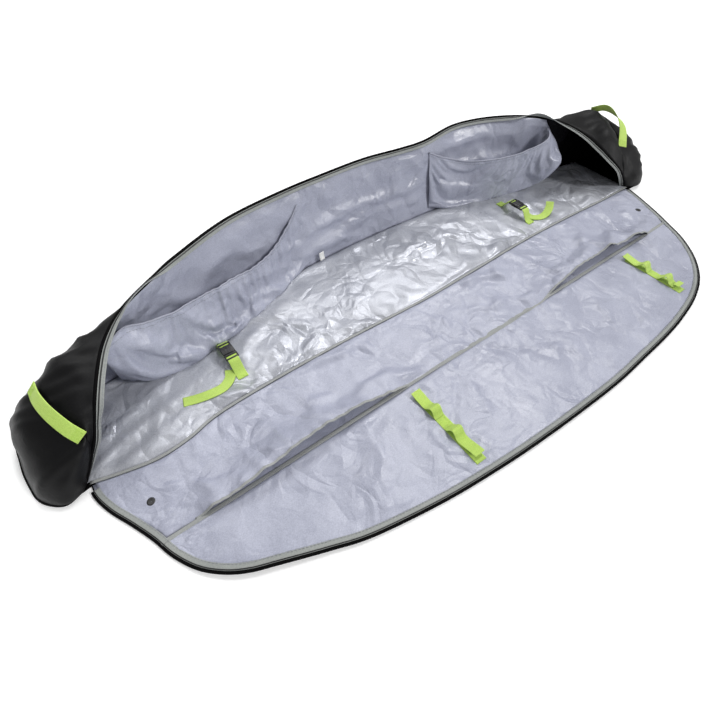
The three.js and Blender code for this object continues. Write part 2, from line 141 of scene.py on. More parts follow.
def ridges(points, size, seed=0.0):
    """Sharp crossing fold lines, 0 to 1, about size apart."""
    line = 1 - np.minimum(np.abs(rough(points, size, seed)) * 1.7, 1)
    return line ** 2.0 * smooth(rough(points, size * 2.6, seed + 5), -0.35, 0.45)


def normals_of(rows):
    """Unit normals of a grid of points."""
    across = np.gradient(rows, axis=0)
    along = np.gradient(rows, axis=1)
    n = np.cross(across, along)
    return n / np.maximum(np.linalg.norm(n, axis=-1, keepdims=True), 1e-9)


def lid_curl(points):
    """How far the lid's edge lifts off the floor."""
    x, y = points[..., 0], points[..., 1]
    out = smooth(-y, 225, 350)
    return 7.0 * bump(x, -735, 190) * out + 2.5 * bump(x, 60, 330) * smooth(-y, 380, 480)


def grid_faces(n, m):
    return [(a, a + 1, a + m + 1, a + m)
            for i in range(n - 1) for a in range(i * m, i * m + m - 1)]


def grid_uv(rows):
    """A flat coordinate in metres for each point of a grid: its mean distance along both ways."""
    def lengths(axis):
        step = np.linalg.norm(np.diff(rows, axis=axis), axis=-1).mean(axis=1 - axis)
        return np.r_[0, np.cumsum(step)] / 1000
    return np.stack(np.meshgrid(lengths(0), lengths(1), indexing="ij"), -1)


def new_piece(name, points, faces, material, uv=None):
    """An object from points in millimetres, with a flat coordinate for its weave."""
    mesh = bpy.data.meshes.new(name)
    mesh.from_pydata(to_row(points).reshape(-1, 3).tolist(), [], faces)
    if uv is not None:
        layer = mesh.uv_layers.new(name="UVMap")
        index = np.zeros(len(mesh.loops), int)
        mesh.loops.foreach_get("vertex_index", index)
        corners = np.asarray(uv).reshape(-1, 2)[index]
        layer.data.foreach_set("uv", corners.astype(np.float32).ravel())
    mesh.materials.append(material)
    mesh.shade_smooth()
    piece = bpy.data.objects.new(name, mesh)
    bpy.context.scene.collection.objects.link(piece)
    return piece


def grid_piece(name, rows, material):
    n, m = rows.shape[:2]
    return new_piece(name, rows, grid_faces(n, m), material, grid_uv(rows))


def thicken(piece, depth, offset=-1.0):
    """Gives a sheet its thickness: under its face, or half to each side at offset 0."""
    solid = piece.modifiers.new("thickness", "SOLIDIFY")
    solid.thickness = depth / 1000
    solid.offset = offset
    return piece


def goes(piece, body, slot, *nodes):
    """The piece rides on a body and stands for these CAD nodes, which are hidden. The slot is not
    used.
    """
    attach(piece, body)
    if nodes:
        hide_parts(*nodes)
    return piece


def bends(piece, bodies, line_y, reach, slot, *nodes):
    """Works out the ends of a fold line between two bodies but uses them for nothing: the piece's
    place is baked into its points and these CAD nodes are hidden.
    """
    start = to_row([0, line_y + reach, FOLD_Z])
    end = to_row([0, line_y - reach, FOLD_Z])
    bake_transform(piece)
    if nodes:
        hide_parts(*nodes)
    return piece


def unit(v):
    v = np.asarray(v, float)
    return v / np.maximum(np.linalg.norm(v, axis=-1, keepdims=True), 1e-9)


def frames_along(path):
    """The way ahead at each point of a path."""
    return unit(np.gradient(np.asarray(path, float), axis=0))


def square_to(v, ahead):
    """Unit directions near v that are square to the way ahead."""
    return unit(v - (v * ahead).sum(-1, keepdims=True) * ahead)


def sweep(path, profile, across):
    """Rows of points: a closed profile of (across, up) offsets carried along a path."""
    path = np.asarray(path, float)
    ahead = frames_along(path)
    side = square_to(np.broadcast_to(np.asarray(across, float), path.shape), ahead)
    up = np.cross(side, ahead)
    profile = np.asarray(profile, float)
    profile = np.concatenate([profile, profile[:1]])
    return (path[:, None] + side[:, None] * profile[None, :, :1]
            + up[:, None] * profile[None, :, 1:])


def swept_piece(name, path, profile, across, material):
    """A closed tube with any profile, capped at both ends."""
    rows = sweep(path, profile, across)
    n, m = rows.shape[:2]
    faces = grid_faces(n, m)
    ring = m - 1
    faces.append(tuple(range(ring - 1, -1, -1)))
    faces.append(tuple((n - 1) * m + j for j in range(ring)))
    piece = new_piece(name, rows, faces, material, grid_uv(rows))
    weld(piece)
    return piece


def weld(piece):
    bm = bmesh.new()
    bm.from_mesh(piece.data)
    bmesh.ops.remove_doubles(bm, verts=bm.verts, dist=1e-6)
    bmesh.ops.recalc_face_normals(bm, faces=bm.faces)
    bm.to_mesh(piece.data)
    bm.free()


def round_profile(width, height, sides=8):
    turns = np.linspace(0, 2 * math.pi, sides, endpoint=False)
    return np.stack([np.cos(turns) * width / 2, np.sin(turns) * height / 2], -1)


def tube(name, path, radius, material):
    return swept_piece(name, path, round_profile(2 * radius, 2 * radius), (0, 0, 1), material)


def ribbon_profile(width, thickness):
    """Woven tape: a flat band whose two edges round off."""
    w, t = width / 2, thickness / 2
    half = [(-w, 0), (-w + 0.35 * t, 0.8 * t), (-w + 1.4 * t, t), (-w / 2, t), (0, t)]
    top = half + [(-x, y) for x, y in half[-2::-1]]
    return top + [(x, -y) for x, y in top[-2:0:-1]]


def webbing(name, path):
    """A strap whose width lies along X."""
    path = even(catmull(path, 8), 8 * len(path))
    return swept_piece(name, path, ribbon_profile(STRAP_WIDTH, STRAP_THICKNESS), (1, 0, 0),
                       lime_webbing)


def ring_faces(bands, sides):
    """Faces between rings of points, each ring joined to the next."""
    return [(i * sides + j, i * sides + (j + 1) % sides,
             (i + 1) * sides + (j + 1) % sides, (i + 1) * sides + j)
            for i in range(bands) for j in range(sides)]


def box_part(low, high, bevel):
    """A bevelled box as (points, faces), in millimetres."""
    bm = bmesh.new()
    bmesh.ops.create_cube(bm, size=1)
    low, high = np.array(low, float), np.array(high, float)
    for v in bm.verts:
        v.co = Vector((low + high) / 2 + (high - low) * np.array(v.co))
    bmesh.ops.bevel(bm, geom=bm.edges[:], offset=bevel, segments=3, profile=0.5,
                    affect="EDGES", clamp_overlap=True)
    points = np.array([v.co for v in bm.verts])
    faces = [[v.index for v in f.verts] for f in bm.faces]
    bm.free()
    return points, faces


def joined(parts):
    """One (points, faces) from many."""
    points, faces, start = [], [], 0
    for p, f in parts:
        points.append(np.asarray(p).reshape(-1, 3))
        faces += [tuple(i + start for i in face) for face in f]
        start += len(points[-1])
    return np.concatenate(points), faces


def stitch_line(name, path, up, material, pitch=7.0, length=4.6, radius=0.45):
    """A row of sewn stitches: short threads that rise from the cloth and dip back in."""
    path = np.asarray(path, float)
    total = np.linalg.norm(np.diff(path, axis=0), axis=1).sum()
    count = max(int(total / pitch), 2)
    fine = even(path, count * 8 + 1)
    up = np.asarray(up, float)
    if up.ndim == 2:
        # A trace of the path keeps the directions apart where they don't turn.
        ups = even(up + path * 1e-9, len(fine))
    else:
        ups = np.broadcast_to(up, fine.shape)
    ahead = frames_along(fine)
    parts = []
    sides = 5
    ring = round_profile(2 * radius, 2 * radius, sides)
    for mid in range(4, count * 8, 8):
        centre, along, over = fine[mid], ahead[mid], unit(ups[mid])
        side = np.cross(along, over)
        rows = []
        for share in (-0.5, -0.2, 0.2, 0.5):
            lift = radius * (0.9 - 5.5 * share * share)
            rows.append(centre + along * share * length + over * lift
                        + side * ring[:, :1] + over * ring[:, 1:])
        parts.append((np.array(rows), ring_faces(3, sides)))
    return new_piece(name, *joined(parts), material)


# Materials
# A wave texture at scale 1 has one band in 0.314 units.
WAVES_PER_UNIT = 0.314


def node(tree, kind, inputs=(), **settings):
    """A shader node. An input takes a value, or a link from another node's output."""
    made = tree.nodes.new("ShaderNode" + kind)
    for key, value in settings.items():
        setattr(made, key, value)
    for key, value in dict(inputs).items():
        if isinstance(value, bpy.types.NodeSocket):
            tree.links.new(value, made.inputs[key])
        else:
            made.inputs[key].default_value = value
    return made


def shade(value):
    """A displayed colour, 0 to 255, as the linear one that a shader takes."""
    return tuple(c / 3294.6 if c <= 10 else ((c / 255 + 0.055) / 1.055) ** 2.4
                 for c in value) + (1.0,)


def new_material(name, metallic=0.0):
    """A material with its node tree and its shader."""
    made = bpy.data.materials.new(name)
    made.use_nodes = True
    shader = made.node_tree.nodes["Principled BSDF"]
    shader.inputs["Metallic"].default_value = metallic
    return made, made.node_tree, shader


def remap(tree, value, low, high, to_low=0.0, to_high=1.0):
    return node(tree, "MapRange", {"Value": value, "From Min": low, "From Max": high,
                                   "To Min": to_low, "To Max": to_high}).outputs[0]


def two_tone(tree, shader, share, light, dark):
    """The colour goes from dark to light by share."""
    colour = node(tree, "Mix", {0: share, 6: shade(dark), 7: shade(light)}, data_type="RGBA")
    tree.links.new(colour.outputs[2], shader.inputs["Base Color"])


def relief(tree, height, strength, distance, below=None):
    """Bumps of that height, in metres, on top of the relief below."""
    inputs = {"Strength": strength, "Distance": distance, "Height": height}
    if below:
        inputs["Normal"] = below.outputs[0]
    return node(tree, "Bump", inputs)


def fabric(name, light, dark, roughness, pitch=1.4, weave=0.25, crease=0.3, crease_size=16.0,
           metallic=0.0, sheen=0.15, depth=0.004, specular=0.5, facets=0.0):
    """Woven cloth: threads from the flat coordinate, and creases, tone and wear from the solid.
    Facets adds the flat faces and sharp edges of stiff crumpled cloth."""
    made, tree, shader = new_material(name, metallic)
    coord = node(tree, "TexCoord")
    uv, place = coord.outputs["UV"], coord.outputs["Object"]
    tone = node(tree, "TexNoise", {"Vector": place, "Scale": 7, "Detail": 6, "Roughness": 0.6})
    speck = node(tree, "TexNoise", {"Vector": place, "Scale": 420, "Detail": 2})
    both = node(tree, "Math", {0: tone.outputs[0], 1: speck.outputs[0]}, operation="ADD")
    two_tone(tree, shader, remap(tree, both.outputs[0], 0.7, 1.3), light, dark)
    gloss = remap(tree, tone.outputs[0], 0.3, 0.7, roughness - 0.12, roughness + 0.12)
    tree.links.new(gloss, shader.inputs["Roughness"])
    scale = WAVES_PER_UNIT / (pitch / 1000)
    warp = node(tree, "TexWave", {"Vector": uv, "Scale": scale}, bands_direction="X")
    weft = node(tree, "TexWave", {"Vector": uv, "Scale": scale}, bands_direction="Y")
    threads = node(tree, "Math", {0: warp.outputs["Fac"], 1: weft.outputs["Fac"]},
                   operation="MULTIPLY")
    last = relief(tree, threads.outputs[0], weave, 0.0004)
    creases = node(tree, "TexNoise", {"Vector": place, "Scale": crease_size, "Detail": 5,
                                      "Roughness": 0.55, "Distortion": 0.7},
                   noise_type="RIDGED_MULTIFRACTAL")
    last = relief(tree, creases.outputs[0], crease, depth, last)
    fine = node(tree, "TexNoise", {"Vector": place, "Scale": crease_size * 4.3, "Detail": 3,
                                   "Distortion": 1.4}, noise_type="RIDGED_MULTIFRACTAL")
    last = relief(tree, fine.outputs[0], crease, depth * 0.16, last)
    if facets:
        stray = node(tree, "TexNoise", {"Vector": place, "Scale": 6, "Detail": 2})
        bend = node(tree, "VectorMath", {0: stray.outputs["Color"], 1: (0.16, 0.16, 0.16)},
                    operation="MULTIPLY")
        moved = node(tree, "VectorMath", {0: place, 1: bend.outputs[0]}, operation="ADD")
        where = node(tree, "TexNoise", {"Vector": place, "Scale": 4.2, "Detail": 1})
        amount = remap(tree, where.outputs[0], 0.38, 0.64, facets * 0.2, facets)
        for scale, height in ((6.5, 0.034), (15.0, 0.015), (33.0, 0.004)):
            cells = node(tree, "TexVoronoi", {"Vector": moved.outputs[0], "Scale": scale},
                         feature="DISTANCE_TO_EDGE")
            last = relief(tree, cells.outputs["Distance"], amount, height, last)
    tree.links.new(last.outputs[0], shader.inputs["Normal"])
    shader.inputs["Specular IOR Level"].default_value = specular
    shader.inputs["Sheen Weight"].default_value = sheen
    shader.inputs["Sheen Roughness"].default_value = 0.4
    return made


def ribbed(name, light, dark, roughness, pitch, strength):
    """Woven tape or a zip's coil: ribs across its length."""
    made = fabric(name, light, dark, roughness, pitch=pitch, weave=0.2, crease=0.12,
                  crease_size=60.0, depth=0.001)
    tree = made.node_tree
    coord = next(n for n in tree.nodes if n.type == "TEX_COORD")
    normal = tree.nodes["Principled BSDF"].inputs["Normal"]
    ribs = node(tree, "TexWave", {"Vector": coord.outputs["UV"],
                                  "Scale": WAVES_PER_UNIT / (pitch / 1000)}, bands_direction="Y")
    top = relief(tree, ribs.outputs["Fac"], strength, 0.0008, normal.links[0].from_node)
    tree.links.new(top.outputs[0], normal)
    return made


def plastic(name, light, dark, roughness, metallic=0.0):
    """Moulded plastic or cast metal: a fine grain, small scuffs and an uneven gloss."""
    made, tree, shader = new_material(name, metallic)
    place = node(tree, "TexCoord").outputs["Object"]
    scuffs = node(tree, "TexNoise", {"Vector": place, "Scale": 90, "Detail": 5})
    grain = node(tree, "TexNoise", {"Vector": place, "Scale": 1800, "Detail": 2})
    two_tone(tree, shader, scuffs.outputs[0], light, dark)
    gloss = remap(tree, scuffs.outputs[0], 0.3, 0.7, roughness - 0.1, roughness + 0.12)
    tree.links.new(gloss, shader.inputs["Roughness"])
    normal = relief(tree, grain.outputs[0], 0.25, 0.0002)
    tree.links.new(normal.outputs[0], shader.inputs["Normal"])
    return made


black_cloth = fabric("black_shell_cloth", (9, 8, 9), (4, 4, 5), 0.62, pitch=1.3, weave=0.6,
                     crease=0.6, crease_size=7.0, sheen=0.0, specular=0.06, facets=0.9)
charcoal_cloth = fabric("charcoal_shell_cloth", (30, 29, 33), (18, 17, 20), 0.55, pitch=1.5,
                        weave=0.6, crease=0.6, crease_size=6.0, sheen=0.0, specular=0.1,
                        facets=0.8)
hood_liner = fabric("black_inner_coating", (14, 14, 16), (6, 6, 7), 0.5, crease=0.5,
                    crease_size=12.0, sheen=0, specular=0.2)
lavender = fabric("lavender_lining", (180, 183, 199), (150, 153, 170), 0.34, pitch=0.9,
                  weave=0.15, crease=0.25, crease_size=4.4, depth=0.02, sheen=0.0,
                  specular=0.6, facets=0.62)
hem = fabric("lining_hem", (168, 170, 184), (142, 145, 160), 0.5, pitch=0.9, weave=0.3)
silver = fabric("silver_film", (196, 198, 205), (160, 163, 172), 0.37, pitch=1.1, weave=0.1,
                crease=0.15, crease_size=3.0, depth=0.022, metallic=0.28, sheen=0.0, facets=0.8)
tape_cloth = ribbed("grey_zip_tape", (163, 166, 163), (138, 142, 139), 0.7, pitch=1.8,
                    strength=0.35)
binding_cloth = ribbed("grey_binding", (164, 166, 164), (136, 139, 138), 0.7, pitch=2.0,
                       strength=0.35)
coil_plastic = ribbed("zip_coil", (52, 53, 54), (30, 31, 32), 0.4, pitch=2.4, strength=1.0)
lime_webbing = ribbed("lime_webbing", (204, 232, 118), (176, 210, 90), 0.6, pitch=2.6,
                      strength=0.7)
lime_thread = fabric("lime_thread", (206, 238, 110), (176, 212, 80), 0.6, pitch=0.6)
grey_thread = fabric("grey_thread", (150, 153, 160), (122, 125, 134), 0.6, pitch=0.6)
buckle_plastic = plastic("black_moulded_plastic", (36, 36, 38), (18, 18, 19), 0.36)
slider_metal = plastic("black_slider_metal", (58, 58, 60), (30, 30, 32), 0.34, metallic=0.8)
label_cloth = fabric("white_label", (246, 246, 244), (230, 230, 228), 0.7, pitch=0.8)


# Cloth simulation: sheets pinned along their seams, a little too large for the room they have

SETTLE_FRAMES = 22
MOST_MOVED = 0.034  # metres that a point may move while it settles


def settle(sheets):
    """Lets the sheets buckle and sag together, then keeps the shape. Each is (piece, held points,
    growth, stiffness, resting height, push)."""
    scene = bpy.context.scene
    scene.frame_start, scene.frame_end = 1, SETTLE_FRAMES
    grounds = {}
    before = {}
    for piece, held, growth, stiffness, rest_z, push in sheets:
        held_group = piece.vertex_groups.new(name="held")
        held_group.add(np.flatnonzero(held).tolist(), 1.0, "REPLACE")
        cloth = piece.modifiers.new("cloth", "CLOTH")
        s = cloth.settings
        s.quality = 5
        s.mass = 0.12
        s.vertex_group_mass = "held"
        s.shrink_min = -growth
        s.tension_stiffness = s.compression_stiffness = 22
        s.shear_stiffness = 8
        s.bending_stiffness = stiffness
        s.air_damping = 2.5
        s.tension_damping = s.compression_damping = 12
        s.bending_damping = 2
        s.effector_weights.gravity = 0.6
        if push:
            s.use_pressure = True
            s.uniform_pressure_force = push
        cloth.point_cache.frame_start, cloth.point_cache.frame_end = 1, SETTLE_FRAMES
        c = cloth.collision_settings
        c.use_self_collision = False
        c.use_collision = True
        if rest_z not in grounds:
            grounds[rest_z] = ground_at(rest_z)
        c.collection = grounds[rest_z][1]
        c.distance_min = 0.001
        c.collision_quality = 2
        before[piece.name] = coordinates(piece.data)
    for step in range(1, SETTLE_FRAMES + 1):
        scene.frame_set(step)
    for piece, *_, rest_z, _ in sheets:
        dg = bpy.context.evaluated_depsgraph_get()
        start = before[piece.name]
        moved = coordinates(piece.evaluated_get(dg).data) - start
        far = np.linalg.norm(moved, axis=1, keepdims=True)
        moved *= np.minimum(1, MOST_MOVED / np.maximum(far, 1e-9))
        if not np.isfinite(moved).all():
            raise RuntimeError(f"{piece.name} did not settle")
        result = start + moved
        curl = lid_curl(start * 1000 - (0, SEAM_Y, 0)) / 1000
        result[:, 2] = np.maximum(result[:, 2], rest_z / 1000 + curl)
        piece.modifiers.remove(piece.modifiers["cloth"])
        set_points(piece, result)
    for ground, collection in grounds.values():
        bpy.data.objects.remove(ground)
        bpy.data.collections.remove(collection)
    scene.frame_set(1)


def coordinates(mesh):
    co = np.zeros(len(mesh.vertices) * 3, np.float32)
    mesh.vertices.foreach_get("co", co)
    return co.reshape(-1, 3).astype(float)


def set_points(piece, points):
    """Moves a piece's points to these, in metres."""
    piece.data.vertices.foreach_set("co", points.astype(np.float32).ravel())
    piece.data.update()


def in_millimetres(piece):
    """A piece's points in millimetres, +Y from the front fold seam."""
    co = coordinates(piece.data) * 1000
    co[:, 1] -= SEAM_Y
    return co


def square(half_x, half_y, height):
    """A flat rectangle as (points, edges, faces), in metres."""
    corners = [(-half_x, -half_y, height), (half_x, -half_y, height), (half_x, half_y, height),
               (-half_x, half_y, height)]
    return corners, [], [(0, 1, 2, 3)]


def ground_at(height):
    """A hidden flat collider that a sheet comes to rest on."""
    collection = bpy.data.collections.new("ground")
    bpy.context.scene.collection.children.link(collection)
    mesh = bpy.data.meshes.new("ground")
    mesh.from_pydata(*square(1.2, 0.7, height / 1000 - 0.001))
    ground = bpy.data.objects.new("ground", mesh)
    collection.objects.link(ground)
    ground.modifiers.new("collision", "COLLISION")
    ground.collision.thickness_outer = 0.001
    return ground, collection


# Tray: a bag end and a wall are ribs that run from the zip edge over the top to the ground.
# Each rib has five points, the third of them on the seam under the grab handle.
LEFT_RIBS = [
    [(-905, 0, 8), (-908, -5, 8), (-912, -9, 7), (-915, -12, 5), (-918, -13, 2)],
    [(-888, 3, 32), (-906, -12, 32), (-924, -20, 26), (-938, -24, 14), (-948, -22, 2)],
    [(-867, 8, 62), (-892, -8, 64), (-920, -14, 55), (-950, -14, 32), (-972, -6, 2)],
    [(-846, 14, 92), (-860, 6, 98), (-876, 6, 96), (-944, 10, 62), (-989, 20, 2)],
    [(-826, 35, 122), (-842, 24, 124), (-860, 24, 116), (-946, 42, 88), (-996, 55, 2)],
    [(-806, 56, 148), (-838, 60, 152), (-872, 62, 138), (-952, 78, 104), (-1000, 92, 2)],
    [(-780, 100, 166), (-830, 104, 168), (-882, 102, 152), (-957, 114, 110), (-1000, 130, 2)],
    [(-750, 148, 178), (-820, 150, 173), (-888, 142, 157), (-956, 152, 104), (-998, 168, 2)],
    [(-709, 186, 192), (-790, 190, 166), (-872, 182, 136), (-938, 188, 80), (-978, 196, 2)],
    [(-665, 206, 206), (-725, 220, 165), (-790, 228, 115), (-850, 224, 55), (-895, 210, 2)],
    [(-600, 238, 213), (-625, 244, 160), (-655, 248, 105), (-682, 246, 50), (-702, 240, 2)],
]
WALL_TOP = [(-540, 268, 217), (-392, 321, 222), (-230, 342, 224), (-90, 347, 225),
            (40, 347, 225), (150, 331, 225), (240, 325, 225), (366, 346, 225),
            (458, 333, 225), (540, 299, 225)]
RIGHT_RIBS = [
    [(605, 259, 223), (610, 264, 165), (612, 264, 110), (612, 258, 55), (612, 252, 2)],
    [(655, 235, 214), (680, 240, 168), (706, 242, 112), (732, 238, 55), (755, 230, 2)],
    [(702, 198, 202), (758, 222, 194), (828, 222, 150), (888, 214, 80), (930, 202, 2)],
    [(748, 163, 181), (812, 194, 198), (872, 200, 188), (948, 192, 118), (990, 184, 2)],
    [(787, 120, 154), (832, 148, 190), (880, 160, 184), (962, 150, 130), (1000, 150, 2)],
    [(803, 72, 130), (842, 100, 166), (886, 112, 162), (972, 110, 122), (1000, 118, 2)],
    [(818, 32, 106), (850, 52, 136), (890, 70, 138), (978, 74, 106), (1000, 82, 2)],
    [(840, 14, 84), (866, 20, 100), (893, 36, 108), (975, 35, 82), (1000, 45, 2)],
    [(864, 6, 60), (890, 2, 72), (918, 2, 74), (966, 0, 52), (992, 8, 2)],
    [(888, 0, 32), (908, -12, 38), (928, -20, 34), (955, -24, 18), (972, -18, 2)],
    [(905, -2, 8), (914, -9, 8), (924, -15, 7), (934, -20, 5), (944, -22, 2)],
]


def floor_back(x):
    """Where the back wall meets the floor."""
    return 300 - 114 * (np.abs(x) / 1000) ** 1.8


def wall_rib(top):
    """A rib of the back wall, which leans and bows a little on its way down."""
    x, y, z = top
    foot = floor_back(x)
    shares = (0, 0.28, 0.52, 0.78)
    lean = [(x, y + (foot - y) * t + 7 * math.sin(math.pi * t), z * (1 - t)) for t in shares]
    return lean + [(x, foot, 2)]


RIBS = np.array(LEFT_RIBS + [wall_rib(top) for top in WALL_TOP] + RIGHT_RIBS, float)
LAST = len(RIBS) - 1
# How far down its rib each seam crossing is, from the front corner of a hood to its back.
SEAM_SHARES = [0, 0, 0, 0.16, 0.5, 0.5, 0.5, 0.5, 0.56, 0.8, 1]


def seam_share(u):
    """The hood seam's place on the rib at u, 0 at the zip edge and 1 at the ground."""
    near = np.minimum(u, LAST - u)
    return np.interp(near, range(len(SEAM_SHARES)), SEAM_SHARES)


def rib_at(u):
    return catmull(RIBS, 16)[np.clip(np.round(np.asarray(u) * 16).astype(int), 0, LAST * 16)]


def tray_point(u, v):
    """A point of the tray's outer face: u counts ribs, v runs from zip edge to ground."""
    return at_shares(rib_at(u), np.atleast_1d(v))


U_STEPS = 8
UPPER, LOWER = 12, 16  # steps above and below the hood seam
tray_us = np.linspace(0, LAST, LAST * U_STEPS + 1)
tray_seam = seam_share(tray_us)


def tray_rows():
    rows = []
    for u, s in zip(tray_us, tray_seam):
        v = np.r_[np.linspace(0, s, UPPER + 1), np.linspace(s, 1, LOWER + 1)[1:]]
        rows.append(tray_point(u, v))
    return np.array(rows)


tray_base = tray_rows()
tray_out = normals_of(tray_base)
middle = len(tray_base) // 2
if tray_out[middle, UPPER, 1] < 0:
    tray_out = -tray_out


def shell_wrinkles(rows, out, u):
    """Soft dents and creases of padded cloth, none along the zip edge or the ground."""
    depth = np.linspace(0, 1, rows.shape[1])[None, :]
    held = smooth(depth, 0, 0.14) * smooth(1 - depth, 0, 0.12)
    hood = smooth(np.abs(rows[..., 0]), 640, 780)
    dents = 4.5 * rough(rows, 95, 1) + 2.2 * rough(rows, 38, 2)
    ridge = 6 * bump(np.minimum(u, LAST - u)[:, None], 3.0, 0.35) * smooth(depth, 0.35, 0.6)
    creases = 6.0 * folds(rows, 35, 62, 3) + 3.0 * folds(rows, 70, 34, 5)
    size = held * (dents * (0.45 + 0.55 * hood) + ridge * hood + creases * hood
                   + 3.5 * folds(rows, 0, 120, 8) * (1 - hood))
    return rows + out * size[..., None]


tray_outer = shell_wrinkles(tray_base, tray_out, tray_us)
tray_outer[..., 2] = np.maximum(tray_outer[..., 2], 1.5)
tray_uv = grid_uv(tray_outer)


def tray_piece(name, low_u, high_u, low_row, high_row, material):
    i0, i1 = int(low_u * U_STEPS), int(high_u * U_STEPS)
    part = slice(i0, i1 + 1), slice(low_row, high_row + 1)
    rows = tray_outer[part]
    piece = new_piece(name, rows, grid_faces(*rows.shape[:2]), material, tray_uv[part])
    bm = bmesh.new()
    bm.from_mesh(piece.data)
    bmesh.ops.dissolve_degenerate(bm, dist=2e-5, edges=bm.edges)
    bm.to_mesh(piece.data)
    bm.free()
    piece.data.materials.append(hood_liner)
    thicken(piece, 2.4).modifiers["thickness"].material_offset = 1
    return piece


HOOD_START, HOOD_END = 2, 10
for side, hood, end in (("left", (HOOD_START, HOOD_END), (0, HOOD_END)),
                        ("right", (LAST - HOOD_END, LAST - HOOD_START), (LAST - HOOD_END, LAST))):
    goes(tray_piece(f"{side}_hood_panel", *hood, 0, UPPER, charcoal_cloth),
         "tray", "shell_charcoal", f"{side}_hood")
    goes(tray_piece(f"{side}_end_pocket", *end, UPPER, UPPER + LOWER, black_cloth),
         "tray", "shell_black", f"{side}_end_panel")
goes(tray_piece("back_wall_cloth", HOOD_END, LAST - HOOD_END, 0, UPPER + LOWER, charcoal_cloth),
     "tray", "shell_charcoal", "back_wall_shell")


# Bottom of the tray, a flat black panel inside the ground line
outline = tray_outer[::4, -1].copy()
outline[:, 2] = 1.6
centre = outline.mean(0)
bottom_rings = np.array([centre + (outline - centre) * share for share in (0.999, 0.97, 0.7, 0.4)])
bottom_faces = grid_faces(*bottom_rings.shape[:2])
ring_count = bottom_rings.shape[1]
bottom_faces.append(tuple(3 * ring_count + i for i in range(ring_count)))
bottom_faces.append((0, ring_count, 2 * ring_count, 3 * ring_count, 4 * ring_count - 1,
                     3 * ring_count - 1, 2 * ring_count - 1, ring_count - 1))
bottom_cloth = new_piece("bottom_cloth", bottom_rings, bottom_faces, black_cloth,
                         bottom_rings[..., :2] / 1000)
goes(thicken(bottom_cloth, 1.2, 0), "tray", "shell_black", "bottom_panel")


# Zip edge of the tray: piping on the cloth's edge, grey tape inside it and the coil along that
RIM_COUNT = 420
rim_fine = catmull(RIBS[:, 0], 12)
rim = even(rim_fine, RIM_COUNT)
rim_u = even(np.column_stack([rim_fine, np.linspace(0, LAST, len(rim_fine))]), RIM_COUNT)[:, 3]


def rim_frames():
    """Along the zip edge: the way down the cloth, the way the tape lies and the tape's face."""
    ribs = rib_at(rim_u)
    downs = unit(ribs[:, 1] - ribs[:, 0])
    ahead = frames_along(rim)
    wall = 1 - smooth(np.abs(rim[:, 0]), 500, 700)[:, None]
    inward = np.array([0.0, -1.0, 0.0])
    lie = -downs * (1 - wall) + inward * 0.95 * wall + downs * 0.75 * wall
    lie = square_to(lie, ahead)
    return downs, lie, unit(np.cross(lie, ahead))


rim_down, rim_lie, rim_face = rim_frames()


goes(tube("tray_piping", rim + rim_down * 0.6 + rim_face * 0.8, 3.6, black_cloth),
     "tray", "shell_black")
rim_centre = rim + rim_lie * (2.5 + TAPE_WIDTH / 2) + rim_face * 1.0
goes(swept_piece("tray_zip_tape", rim_centre, ribbon_profile(TAPE_WIDTH, TAPE_THICKNESS), rim_lie,
                 tape_cloth), "tray", "zip_tape", "base_zip_tape")
coil_path = rim + rim_lie * 6.6 + rim_face * 2.0
goes(swept_piece("tray_zip_coil", coil_path, round_profile(3.0, 2.2), rim_lie, coil_plastic),
     "tray", "zip_coil", "base_zip_coil")
goes(stitch_line("tray_zip_stitches", rim + rim_lie * 12.0 + rim_face * 1.9, rim_face,
                 grey_thread), "tray", "zip_tape")


# Seams of the hoods: piping where charcoal and black meet
def tray_at(u, v):
    """The wrinkled outer face at (u, v)."""
    i = int(np.clip(round(u * U_STEPS), 0, len(tray_us) - 1))
    s = tray_seam[i]
    if v <= s and s > 0:
        row = v / s * UPPER
    else:
        row = UPPER + (v - s) / max(1 - s, 1e-6) * LOWER
    j = int(np.clip(math.floor(row), 0, UPPER + LOWER - 1))
    t = row - j
    return tray_outer[i, j] * (1 - t) + tray_outer[i, j + 1] * t


seam_us = np.arange(2.75, 9.8, 0.25)
for side, us in (("left", seam_us), ("right", LAST - seam_us)):
    path = [tray_at(u, seam_share(u)) for u in us]
    goes(tube(f"{side}_hood_seam", catmull(path, 4), 2.2, black_cloth), "tray", "shell_black")

# Piped seam between the tray's foot and the bottom cloth
foot_line = np.array([tray_at(u, 1.0) for u in np.linspace(0.1, LAST - 0.1, 240)])
foot_line[:, 2] = 4.2
goes(tube("tray_foot_piping", foot_line, 4.0, black_cloth), "tray", "shell_black")


# Lining of the back wall, sewn at the zip tape, the floor and its ends
WALL_GRID = (220, 26)


